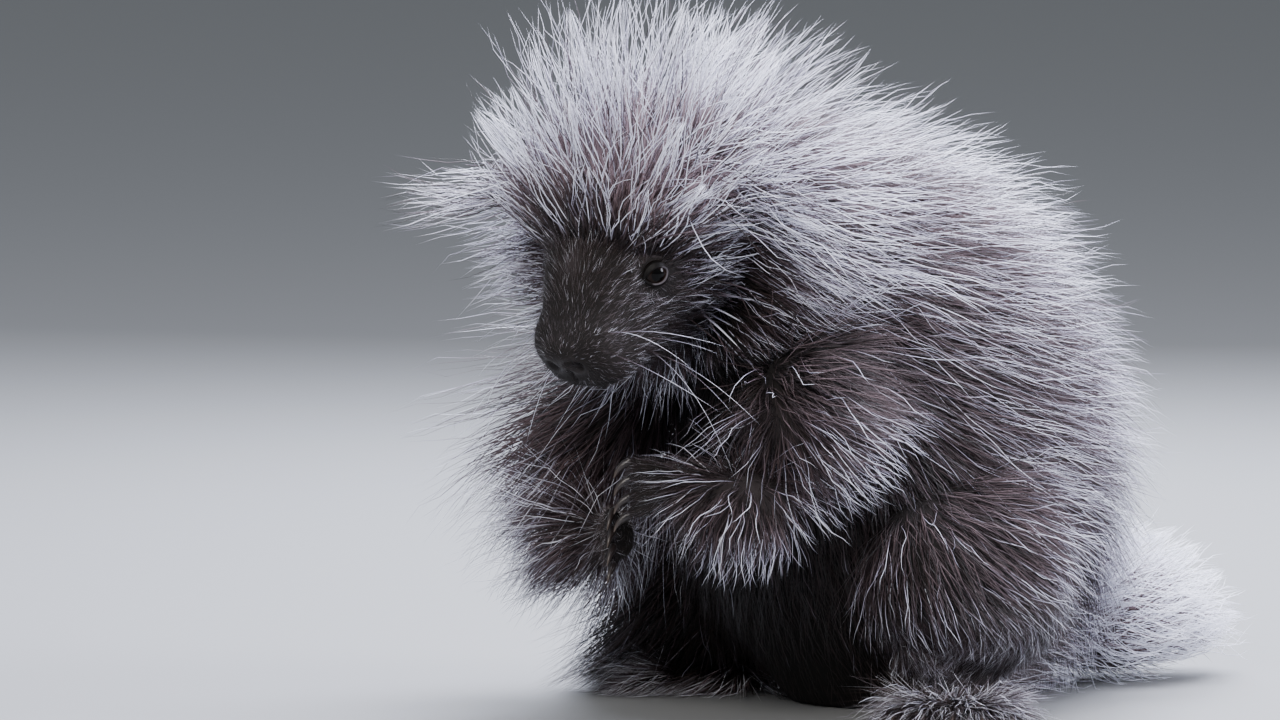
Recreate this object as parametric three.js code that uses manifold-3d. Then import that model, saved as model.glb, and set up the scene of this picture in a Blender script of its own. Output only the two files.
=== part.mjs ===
// A young North American porcupine sitting up on its haunches, forepaws held together at its chest.
// Millimetres, +Z up. The animal faces -Y and its left side is +X. The origin is the middle of the
// flat that its rump rests on, at floor level.
import * as THREE from "three";
import { mergeVertices } from "three/addons/utils/BufferGeometryUtils.js";
import Module from "manifold-3d";

const wasm = await Module();
wasm.setup();

// Driving sizes
const nodeGap = 0.4; // what one node keeps clear of the next
const floorGap = 1.2; // lowest that a lock of hair may lie
const headPitch = 38; // degrees the face is bowed below level
const headYaw = 8; // degrees the face is turned to its left
const headPlace = [8.7, -136.1, 171]; // the point midway between the eyes
const eyeRadius = 5.4;
const eyeSpread = 24.5; // from the middle of the head to each eye's centre
const eyeRise = 6.5;
const clawLength = 11;
const grooveDepth = 2.2; // how far the mouth's line is cut into the lips
const hairSeed = 20417;

const legSides = { left: 1, right: -1 };
const rad = THREE.MathUtils.degToRad;
const vec = (p) => new THREE.Vector3(...p);

// Even random numbers from one seed
function randomFrom(seed) {
  let state = seed >>> 0;
  return () => {
    state = (state + 0x6d2b79f5) >>> 0;
    let t = Math.imul(state ^ (state >>> 15), 1 | state);
    t = (t + Math.imul(t ^ (t >>> 7), 61 | t)) ^ t;
    return ((t ^ (t >>> 14)) >>> 0) / 4294967296;
  };
}

// A closed geometry as a solid for joining and cutting
function solidOf(geometry) {
  const bare = geometry.clone();
  bare.deleteAttribute("normal");
  bare.deleteAttribute("uv");
  const merged = mergeVertices(bare, 1e-4);
  return new wasm.Manifold(
    new wasm.Mesh({
      numProp: 3,
      vertProperties: new Float32Array(merged.attributes.position.array),
      triVerts: new Uint32Array(merged.index.array),
    }),
  );
}

function geometryOf(solid) {
  const mesh = solid.getMesh();
  const positions = new Float32Array(mesh.numVert * 3);
  for (let i = 0; i < mesh.numVert; i++) {
    const from = i * mesh.numProp;
    positions.set(mesh.vertProperties.subarray(from, from + 3), i * 3);
  }
  return new THREE.BufferGeometry()
    .setAttribute("position", new THREE.BufferAttribute(positions, 3))
    .setIndex(new THREE.BufferAttribute(new Uint32Array(mesh.triVerts), 1));
}

// A closed surface from rings of points between two poles
function skinOf(rings, firstPole, lastPole) {
  const sides = rings[0].length;
  const points = [firstPole, ...rings.flat(), lastPole];
  const last = points.length - 1;
  const at = (ring, k) => 1 + ring * sides + (k % sides);
  const faces = [];
  for (let k = 0; k < sides; k++) {
    faces.push(0, at(0, k + 1), at(0, k));
    faces.push(last, at(rings.length - 1, k), at(rings.length - 1, k + 1));
    for (let i = 0; i + 1 < rings.length; i++) {
      faces.push(at(i, k), at(i, k + 1), at(i + 1, k));
      faces.push(at(i, k + 1), at(i + 1, k + 1), at(i + 1, k));
    }
  }
  return new THREE.BufferGeometry().setFromPoints(points).setIndex(faces);
}

const signedPower = (x, p) => Math.sign(x) * Math.abs(x) ** p;

// A fleshy form: rings of a superellipse along a curve, each station being
// [x, y, z, half size across, half size deep], with rounded ends.
class Form {
  constructor({ stations, across = [1, 0, 0], square = 2.3, round = 2.4, rings = 12, sides = 16 }) {
    this.path = new THREE.CatmullRomCurve3(stations.map((s) => vec(s.slice(0, 3))), false, "centripetal");
    this.sizes = new THREE.CatmullRomCurve3(
      stations.map((s) => new THREE.Vector3(s[3], s[4], 0)),
      false,
      "catmullrom",
    );
    this.across = vec(across).normalize();
    Object.assign(this, { square, round, rings, sides });
  }

  point(u, angle, grow = 0) {
    const tangent = this.path.getTangent(u);
    const side = this.across.clone().addScaledVector(tangent, -this.across.dot(tangent)).normalize();
    const deep = tangent.clone().cross(side);
    const size = this.sizes.getPoint(u);
    const end = Math.max(0, 1 - Math.abs(2 * u - 1) ** this.round) ** (1 / this.round);
    const c = signedPower(Math.cos(angle), 2 / this.square);
    const s = signedPower(Math.sin(angle), 2 / this.square);
    return this.path
      .getPoint(u)
      .addScaledVector(tangent, grow * (2 * u - 1))
      .addScaledVector(side, (size.x * end + grow * Math.min(1, end * 3)) * c)
      .addScaledVector(deep, (size.y * end + grow * Math.min(1, end * 3)) * s);
  }

  // The surface's point, outward normal and direction towards the form's far end
  surface(u, angle) {
    const step = 0.01;
    const along = this.point(u + step, angle).sub(this.point(u - step, angle));
    const around = this.point(u, angle + step).sub(this.point(u, angle - step));
    const normal = around.clone().cross(along).normalize();
    const point = this.point(u, angle);
    if (normal.dot(point.clone().sub(this.path.getPoint(u))) < 0) normal.negate();
    return { point, normal, along: along.normalize() };
  }

  solid(grow = 0) {
    const rings = [];
    for (let i = 1; i < this.rings; i++) {
      const u = (1 - Math.cos((Math.PI * i) / this.rings)) / 2;
      const ring = [];
      for (let k = 0; k < this.sides; k++) ring.push(this.point(u, (2 * Math.PI * k) / this.sides, grow));
      rings.push(ring);
    }
    const made = solidOf(skinOf(rings, this.point(0, 0, grow), this.point(1, 0, grow)));
    if (made.volume() > 0) return made;
    return solidOf(skinOf(rings.map((r) => [...r].reverse()), this.point(0, 0, grow), this.point(1, 0, grow)));
  }
}

// A ball squashed along its own axes and turned
function ball(centre, radii, turn = new THREE.Quaternion(), sides = 12, rings = 8) {
  const geometry = new THREE.SphereGeometry(1, sides, rings);
  geometry.applyMatrix4(new THREE.Matrix4().compose(vec(centre), turn, vec(radii)));
  return solidOf(geometry);
}

function box(low, high) {
  const size = vec(high).sub(vec(low));
  const geometry = new THREE.BoxGeometry(size.x, size.y, size.z);
  geometry.translate(...vec(low).addScaledVector(size, 0.5).toArray());
  return solidOf(geometry);
}

const aboveFloor = box([-400, -400, 0], [400, 400, 500]);
const joined = (solids) => solids.reduce((all, one) => all.add(one));

// One flat, tapered lock of hair. It leaves the surface at the steeper angle, bends down into the
// lie, and its three-sided section has its ridge on the outside.
function lockOfHair(root, look, grow = 0) {
  const { length, width, thick, startLift, endLift, sway } = look;
  const sink = look.sink + grow;
  const lie = root.lie;
  const normal = root.normal;
  const side = lie.clone().cross(normal).normalize();
  const spans = look.spans ?? 3;
  const heading = (t) => {
    const lift = rad(startLift + (endLift - startLift) * t);
    return normal
      .clone()
      .multiplyScalar(Math.sin(lift))
      .addScaledVector(lie, Math.cos(lift))
      .addScaledVector(side, sway * t)
      .normalize();
  };
  const rings = [];
  const section = (place, along, w, h) => {
    const up = side.clone().cross(along).normalize();
    const floor = place.clone().addScaledVector(up, -h * 0.35 - grow);
    return [
      floor.clone().addScaledVector(side, -w / 2 - grow * 4),
      floor.clone().addScaledVector(side, w / 2 + grow * 4),
      place.clone().addScaledVector(up, h * 0.65 + grow * 1.6),
    ];
  };
  const place = root.point.clone().addScaledVector(heading(0), -sink);
  rings.push(section(place, heading(0), width * 0.8, thick * 0.9));
  for (let i = 0; i < spans; i++) {
    const t = (i + 0.5) / spans;
    const stride = (i === 0 ? sink : 0) + length / spans;
    place.addScaledVector(heading(t), stride);
    place.z = Math.max(place.z, floorGap + thick * 0.5);
    if (i + 1 < spans) {
      const taper = 1 - ((i + 1) / spans) ** 1.8;
      rings.push(section(place, heading(t), width * (0.35 + 0.65 * taper), thick * (0.4 + 0.6 * taper)));
    }
  }
  if (grow) rings.push(section(place, heading(1), 0.4, 0.4));
  const tip = place.clone().addScaledVector(heading(1), grow * 3);
  const base = rings[0].reduce((sum, p) => sum.add(p), new THREE.Vector3()).divideScalar(3);
  const made = solidOf(skinOf(rings, base, tip));
  if (made.volume() > 0) return made;
  return solidOf(skinOf(rings.map((r) => [...r].reverse()), base, tip));
}

// The head's own directions: forward along the face, up from its crown, and to its left
const headTurn = new THREE.Matrix4().makeBasis(
  new THREE.Vector3(Math.cos(rad(headYaw)), Math.sin(rad(headYaw)), 0),
  new THREE.Vector3(
    Math.sin(rad(headYaw)) * Math.cos(rad(headPitch)),
    -Math.cos(rad(headYaw)) * Math.cos(rad(headPitch)),
    -Math.sin(rad(headPitch)),
  ),
  new THREE.Vector3(
    Math.sin(rad(headYaw)) * Math.sin(rad(headPitch)),
    -Math.cos(rad(headYaw)) * Math.sin(rad(headPitch)),
    Math.cos(rad(headPitch)),
  ),
);
const headQuaternion = new THREE.Quaternion().setFromRotationMatrix(
  new THREE.Matrix4().makeBasis(
    new THREE.Vector3().setFromMatrixColumn(headTurn, 0),
    new THREE.Vector3().setFromMatrixColumn(headTurn, 1),
    new THREE.Vector3().setFromMatrixColumn(headTurn, 0).cross(new THREE.Vector3().setFromMatrixColumn(headTurn, 1)),
  ),
);
// A point given as [left, forward, up] from midway between the eyes
const onHead = (p) => vec(p).applyMatrix4(headTurn).add(vec(headPlace)).toArray();
const headLeft = onHead([1, 0, 0]).map((v, i) => v - headPlace[i]);
const headStation = ([left, forward, up, across, deep]) => [...onHead([left, forward, up]), across, deep];

// The fleshy forms, with the woolly undercoat that fills the coat's lower half
const torsoForm = new Form({
  stations: [
    [0, 22, -46, 70, 84],
    [0, 18, 30, 87, 97],
    [0, 8, 90, 85, 92],
    [0, -10, 140, 78, 84],
    [0, -40, 184, 68, 70],
    [0, -66, 218, 56, 54],
  ],
  round: 2.2,
  rings: 14,
  sides: 20,
});
const neckForm = new Form({
  stations: [
    [6, -114, 182, 36, 34],
    [4, -94, 186, 48, 46],
    [1, -64, 180, 54, 52],
    [0, -40, 166, 52, 50],
  ],
  rings: 8,
  sides: 14,
});
const skullForm = new Form({
  stations: [
    headStation([0, -58, -4, 32, 34]),
    headStation([0, -34, 2, 36, 36]),
    headStation([0, -8, 1, 31, 31]),
    headStation([0, 12, -4, 26, 26]),
    headStation([0, 32, -9, 26, 24]),
  ],
  across: headLeft,
  round: 2.6,
  square: 2.3,
  rings: 11,
  sides: 14,
});
const muzzleForm = new Form({
  stations: [
    headStation([0, -4, -8, 22, 21]),
    headStation([0, 14, -7, 22, 20]),
    headStation([0, 29, -9, 21, 18]),
    headStation([0, 40, -11, 20, 16]),
  ],
  across: headLeft,
  round: 3,
  square: 2.6,
  rings: 9,
  sides: 14,
});
const chinForm = new Form({
  stations: [
    headStation([0, -18, -20, 20, 12]),
    headStation([0, 6, -23, 15, 9]),
    headStation([0, 24, -25, 11, 7]),
  ],
  across: headLeft,
  rings: 6,
  sides: 8,
});
const noseForm = new Form({
  stations: [
    headStation([0, 26, -1, 12, 8]),
    headStation([0, 35, -3.5, 12, 9]),
    headStation([0, 42, -7, 10.5, 7]),
  ],
  across: headLeft,
  rings: 6,
  sides: 8,
});
const tailForm = new Form({
  stations: [
    [0, 84, 32, 34, 30],
    [0, 112, 24, 30, 26],
    [1, 138, 18, 24, 20],
    [2, 160, 15, 17, 15],
    [3, 176, 13, 12, 11],
  ],
  rings: 10,
  sides: 14,
});

// Limbs: the numbers are for the left side, and the right arm hangs a little lower
const armDrop = { left: 0, right: 19 };
const hairFrom = { left: 190, right: 125 }; // height that each foreleg's hair streams away from
function armForms(which) {
  const side = legSides[which];
  const drop = armDrop[which];
  const station = ([x, y, z, a, b], share) => [side * x, y, z - drop * share, a, b];
  return {
    upper: new Form({
      stations: [
        station([44, -54, 150, 26, 26], 0.2),
        station([60, -80, 124, 25, 26], 0.6),
        station([65, -95, 98, 21, 22], 1),
      ],
      across: [side, 0, 0],
      rings: 6,
      sides: 10,
    }),
    fore: new Form({
      stations: [
        station([67, -91, 92, 19, 19], 1),
        station([51, -103, 88, 17, 17], 1),
        station([33, -110, 88, 14, 13], 1),
        station([20, -111, 89, 11, 10], 1),
      ],
      across: [0, 0, 1],
      rings: 7,
      sides: 9,
    }),
  };
}

const pawReach = { left: [20, -111, 89], right: [-15, -113, 69] };
function pawForms(which) {
  const side = legSides[which];
  const [x, y, z] = pawReach[which];
  const palm = new Form({
    stations: [
      [x + side * 6, y + 4, z, 8, 8],
      [x - side * 2, y - 3, z + 2, 9, 7],
      [x - side * 9, y - 8, z + 4, 9, 6],
    ],
    across: [0, 0, 1],
    rings: 6,
    sides: 9,
  });
  const digits = [];
  const claws = [];
  const fingers = 4;
  for (let i = 0; i < fingers; i++) {
    const spread = (i - (fingers - 1) / 2) * 4.6;
    const knuckle = [x - side * 1, y - 3, z + 3 + spread * 0.8];
    const tip = [x - side * 14, y - 15, z + 3 + spread * 1.5];
    digits.push(
      new Form({
        stations: [
          [...knuckle, 3.8, 3.8],
          [(knuckle[0] + tip[0]) / 2 - side, (knuckle[1] + tip[1]) / 2 - 2, (knuckle[2] + tip[2]) / 2, 3.6, 3.6],
          [...tip, 3.2, 3.2],
        ],
        across: [0, 0, 1],
        rings: 4,
        sides: 6,
      }),
    );
    claws.push({
      name: `claw_fore_${which}_${i + 1}`,
      from: [tip[0] + side * 0.8, tip[1] + 0.8, tip[2]],
      towards: [side * -0.55, -0.75, -0.35],
      curl: [side * 0.35, 0.2, -0.85],
    });
  }
  return { palm, digits, claws };
}

function hindForms(which) {
  const side = legSides[which];
  return {
    thigh: new Form({
      stations: [
        [side * 50, 42, 58, 40, 46],
        [side * 62, 4, 56, 44, 52],
        [side * 70, -34, 52, 36, 42],
        [side * 72, -56, 46, 26, 30],
      ],
      across: [side, 0, 0],
      rings: 9,
      sides: 12,
    }),
    shank: new Form({
      stations: [
        [side * 74, -46, 44, 21, 21],
        [side * 72, -18, 24, 18, 18],
        [side * 68, 6, 13, 15, 14],
      ],
      across: [side, 0, 0],
      rings: 6,
      sides: 10,
    }),
  };
}

// The hind foot points outwards from the heel, flat on the floor
const heel = [62, -6];
const toeTurn = 46; // degrees outwards from straight ahead
const footLength = 50;
function footForms(which) {
  const side = legSides[which];
  const ahead = [side * Math.sin(rad(toeTurn)), -Math.cos(rad(toeTurn))];
  const aside = [-ahead[1], ahead[0]];
  const spot = (forward, sideways, z) => [
    side * heel[0] + ahead[0] * forward + aside[0] * sideways,
    heel[1] + ahead[1] * forward + aside[1] * sideways,
    z,
  ];
  const sole = new Form({
    stations: [
      [...spot(-8, 0, 4), 12, 13],
      [...spot(14, 0, 4), 15, 14],
      [...spot(footLength * 0.72, 0, 3), 18, 11],
    ],
    across: [...aside, 0],
    rings: 6,
    sides: 11,
  });
  const digits = [];
  const claws = [];
  const toes = 5;
  for (let i = 0; i < toes; i++) {
    const fan = (i - (toes - 1) / 2) / 2;
    const reach = footLength * (1.0 - 0.1 * fan * fan);
    digits.push(
      new Form({
        stations: [
          [...spot(reach * 0.4, fan * 10, 4.5), 5.5, 5.5],
          [...spot(reach * 0.76, fan * 17, 5.8), 5, 5.4],
          [...spot(reach, fan * 21, 4), 4.2, 4.2],
        ],
        across: [...aside, 0],
        rings: 4,
        sides: 5,
      }),
    );
    const out = [ahead[0] + aside[0] * fan * 0.3, ahead[1] + aside[1] * fan * 0.3];
    claws.push({
      name: `claw_hind_${which}_${i + 1}`,
      from: spot(reach - 3, fan * 20.5, 4.8),
      towards: [out[0], out[1], 0.15],
      curl: [out[0] * 0.6, out[1] * 0.6, -0.75],
    });
  }
  return { sole, digits, claws };
}

// A claw is a cone bent down along a quarter turn
function clawSolid({ from, towards, curl }, grow = 0) {
  const start = vec(from);
  const out = vec(towards).normalize();
  const down = vec(curl).normalize();
  const middle = start.clone().addScaledVector(out, clawLength * 0.55);
  const tip = middle.clone().addScaledVector(out, clawLength * 0.25).addScaledVector(down, clawLength * 0.36);
  tip.z = Math.max(tip.z, 0.7);
  const bend = new THREE.QuadraticBezierCurve3(start, middle, tip);
  const rings = [];
  const sides = 5;
  for (const [t, radius] of [[0, 2], [0.35, 1.75], [0.72, 1.15]]) {
    const centre = bend.getPoint(t);
    const tangent = bend.getTangent(t);
    const across = out.clone().cross(down).normalize();
    const up = across.clone().cross(tangent).normalize();
    const ring = [];
    for (let k = 0; k < sides; k++) {
      const a = (2 * Math.PI * k) / sides;
      ring.push(
        centre
          .clone()
          .addScaledVector(across, Math.cos(a) * (radius * 0.8 + grow))
          .addScaledVector(up, Math.sin(a) * (radius + grow)),
      );
    }
    rings.push(ring);
  }
  const base = start.clone().addScaledVector(out, -0.6 - grow);
  const end = tip.clone().addScaledVector(bend.getTangent(1), grow * 2);
  const made = solidOf(skinOf(rings, base, end));
  if (made.volume() > 0) return made;
  return solidOf(skinOf(rings.map((r) => [...r].reverse()), base, end));
}

// A small round ear: a leaf-shaped cup, open to the front
function earSolid(which, grow = 0) {
  const side = legSides[which];
  const turn = headQuaternion.clone().multiply(
    new THREE.Quaternion().setFromEuler(new THREE.Euler(rad(-25), rad(side * 34), rad(side * -18))),
  );
  const centre = onHead([side * 29, -33, 21]);
  const outer = ball(centre, [10 + grow, 5 + grow, 14 + grow], turn, 10, 7);
  if (grow) return outer;
  const frontward = new THREE.Vector3(0, 1, 0).applyQuaternion(turn);
  const hollow = vec(centre).addScaledVector(frontward, 4.2).toArray();
  return outer.subtract(ball(hollow, [7.4, 5.4, 11], turn, 9, 6));
}

const eyeCentre = (side) => onHead([side * eyeSpread, 0, eyeRise]);
const eyeLook = (side) =>
  new THREE.Vector3(side * 0.86, 0.46, 0.16).normalize().applyMatrix4(headTurn);

// Lids: a thin hood over the eyeball, open in an almond along the eye's line
function lidsSolid(side) {
  const centre = eyeCentre(side);
  const hood = ball(centre, [eyeRadius + 1.7, eyeRadius + 1.7, eyeRadius + 1.7], headQuaternion, 10, 6);
  const outward = eyeLook(side);
  const along = new THREE.Vector3(0, 1, -0.12).applyMatrix4(headTurn);
  const long = along.addScaledVector(outward, -along.dot(outward)).normalize();
  const turn = new THREE.Quaternion().setFromRotationMatrix(
    new THREE.Matrix4().makeBasis(long, outward.clone().cross(long), outward),
  );
  const opening = vec(centre).addScaledVector(outward, eyeRadius).toArray();
  return hood.subtract(ball(opening, [4.9, 3.7, 6], turn, 8, 5));
}

// Nostrils, the closed mouth's line and the split of the upper lip, as shallow cuts in the muzzle
function faceCuts() {
  const cuts = [];
  for (const side of [1, -1]) {
    const slant = new THREE.Quaternion().setFromEuler(new THREE.Euler(rad(-15), rad(side * 25), rad(side * -30)));
    const turn = headQuaternion.clone().multiply(slant);
    cuts.push(ball(onHead([side * 5.6, 40.5, -7]), [2, 4.6, 3], turn, 8, 5));
  }
  const deepest = muzzleForm.solid(-grooveDepth).add(skullForm.solid(-grooveDepth));
  const mouth = ball(onHead([0, 26, -19]), [30, 27, 1.2], headQuaternion, 10, 4);
  const split = ball(onHead([0, 40, -15]), [0.9, 8, 6], headQuaternion, 6, 4);
  return joined([...cuts, joined([mouth, split]).subtract(deepest)]);
}

// How the hair lies at a place on a form: a wanted heading laid into the surface
function laidIn(heading, normal) {
  const lie = heading.clone().addScaledVector(normal, -heading.dot(normal));
  return lie.length() > 0.05 ? lie.normalize() : null;
}

// Roots in staggered rows over a form. `look` gives each root's lock or null where none grows.
function rootsOn(form, { from, to, rows, spacing, look, random }) {
  const roots = [];
  for (let row = 0; row < rows; row++) {
    const u = from + ((to - from) * (row + 0.5)) / rows;
    let girth = 0;
    const turns = 24;
    for (let k = 0; k < turns; k++) {
      girth += form.point(u, (2 * Math.PI * k) / turns).distanceTo(form.point(u, (2 * Math.PI * (k + 1)) / turns));
    }
    const count = Math.max(3, Math.round(girth / spacing));
    for (let k = 0; k < count; k++) {
      const angle = (2 * Math.PI * (k + (row % 2) / 2 + (random() - 0.5) * 0.35)) / count;
      const nudge = ((random() - 0.5) * 0.35 * (to - from)) / rows;
      const at = form.surface(u + nudge, angle);
      const chosen = look(at, u);
      if (!chosen) continue;
      const { heading, ...shape } = chosen;
      const lie = laidIn(heading, at.normal);
      if (lie) roots.push({ ...at, lie, shape });
    }
  }
  return roots;
}

const varied = (random, size, share) => size * (1 + (random() - 0.5) * 2 * share);
const blend = (a, b, t) => a + (b - a) * THREE.MathUtils.clamp(t, 0, 1);

// The coat of each form: where locks grow, which way they lie, and their size
const backward = new THREE.Vector3(0, 1, 0);
const downward = new THREE.Vector3(0, 0, -1);

function torsoLook(random) {
  return ({ point, normal }) => {
    if (point.z < 14) return null;
    const front = THREE.MathUtils.clamp(-normal.y, 0, 1);
    if (front > 0.8 && point.z > 100) return null;
    const back = THREE.MathUtils.clamp(normal.z * 1.3 + normal.y * 0.4, 0, 1);
    const fall = blend(1.1, 0.1, (point.z - 40) / 170);
    const belly = front > 0.5;
    const heading = belly
      ? new THREE.Vector3(normal.x * 0.6, -0.1, -1)
      : new THREE.Vector3(normal.x * 0.25, 1 - front * 0.7, -fall - front * 0.6);
    return {
      heading,
      length: varied(random, belly ? 26 : blend(48, 56, back), 0.12),
      width: varied(random, belly ? 21 : 29, 0.12),
      thick: 4.6,
      startLift: belly ? 34 : blend(38, 50, back),
      endLift: belly ? 8 : blend(14, 28, back),
      sway: (random() - 0.5) * 0.5,
      sink: 9,
    };
  };
}

function neckLook(random) {
  return ({ point, normal }) => {
    const top = THREE.MathUtils.clamp(normal.z * 1.4, 0, 1);
    const ruff = THREE.MathUtils.clamp((-80 - point.y) / 30, 0, 1);
    const heading = new THREE.Vector3(
      normal.x,
      blend(blend(0.2, -0.9, ruff), 1, top * 1.2),
      blend(blend(-0.8, -0.15, ruff), 0.1, top),
    );
    return {
      heading,
      length: varied(random, blend(50, 52, top), 0.1),
      width: varied(random, blend(20, 16, top), 0.12),
      thick: 4,
      startLift: blend(58, 66, top),
      endLift: blend(32, 46, top),
      sway: (random() - 0.5) * 0.5,
      sink: 8,
    };
  };
}

const crown = new THREE.Vector3().setFromMatrixColumn(headTurn, 2);
const facing = new THREE.Vector3().setFromMatrixColumn(headTurn, 1);
const leftward = new THREE.Vector3().setFromMatrixColumn(headTurn, 0);
function headLook(random) {
  return ({ point, normal }) => {
    const local = point.clone().sub(vec(headPlace));
    const forward = local.dot(facing);
    const height = local.dot(crown);
    if (forward > blend(-10, 6, (height + 6) / 30)) return null;
    const top = THREE.MathUtils.clamp((normal.dot(crown) + 0.1) / 0.6, 0, 1);
    const brow = THREE.MathUtils.clamp((forward + 14) / 18, 0, 1);
    const heading = facing
      .clone()
      .multiplyScalar(-top)
      .addScaledVector(new THREE.Vector3(normal.x * 0.5, -0.35, -0.25), 1 - top);
    return {
      heading,
      length: varied(random, blend(62, blend(63, 44, brow), top), 0.1),
      width: varied(random, blend(16, 12, top), 0.12),
      thick: 3.6,
      startLift: blend(66, 84, top),
      endLift: blend(46, blend(68, 78, brow), top),
      sway: (random() - 0.5) * 0.4,
      sink: 8,
    };
  };
}

// Hair on a limb streams outwards from the elbow or knee and down
function limbLook(random, { joint, length, width, lift, spread, drop }) {
  return ({ point }) => {
    const heading = point.clone().sub(vec(joint)).normalize().multiplyScalar(spread);
    heading.z -= drop;
    return {
      heading,
      length: varied(random, length, 0.15),
      width: varied(random, width, 0.15),
      thick: 3.6,
      startLift: lift,
      endLift: lift * 0.45,
      sway: (random() - 0.5) * 0.5,
      sink: 6,
    };
  };
}

function tailLook(random) {
  return ({ normal }) => {
    if (normal.z < -0.5) return null;
    return {
      heading: new THREE.Vector3(normal.x * 0.4, 1, 0.1),
      length: varied(random, 37, 0.12),
      width: varied(random, 15, 0.12),
      thick: 4,
      startLift: blend(34, 58, normal.z),
      endLift: blend(12, 36, normal.z),
      sway: (random() - 0.5) * 0.5,
      sink: 6,
    };
  };
}

const tiny = ball([0, 0, 0], [0.4, 0.4, 0.4], new THREE.Quaternion(), 4, 3);
const holds = (solid, point) => !solid.intersect(tiny.translate(point.toArray())).isEmpty();

// A node's body with its locks, at its own size and grown by the gap for cutting its neighbours.
// A lock that starts inside a neighbour's body, or runs into one, is lifted clear or left out.
function coated(core, grownCore, roots, others) {
  const bodies = [core];
  const grown = [grownCore];
  for (const root of roots) {
    if (others.some((other) => holds(other, root.point))) continue;
    for (const raise of [0, 12, 24, 36]) {
      const shape = { ...root.shape, startLift: root.shape.startLift + raise, endLift: root.shape.endLift + raise };
      const lock = lockOfHair(root, shape);
      const inside = others.some((other) => lock.intersect(other).volume() > 0.04 * lock.volume());
      if (inside) continue;
      bodies.push(lock);
      grown.push(lockOfHair(root, shape, nodeGap));
      break;
    }
  }
  return { body: wasm.Manifold.union(bodies), grown: wasm.Manifold.union(grown), locks: bodies.length - 1 };
}

const parts = [];
function addPart(name, body, grown, material) {
  parts.push({ name, body, grown, material });
}

const black = { color: 0x0d0b0c, roughness: 0.12, metalness: 0 };
const claw = { color: 0x2a2422, roughness: 0.45, metalness: 0 };
const darkFur = { color: 0x3a302e, roughness: 0.9, metalness: 0 };
const greyFur = { color: 0x8b8690, roughness: 0.9, metalness: 0 };
const paleFur = { color: 0xdcdde2, roughness: 0.9, metalness: 0 };
const bareSkin = { color: 0x1e1819, roughness: 0.7, metalness: 0 };

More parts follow.
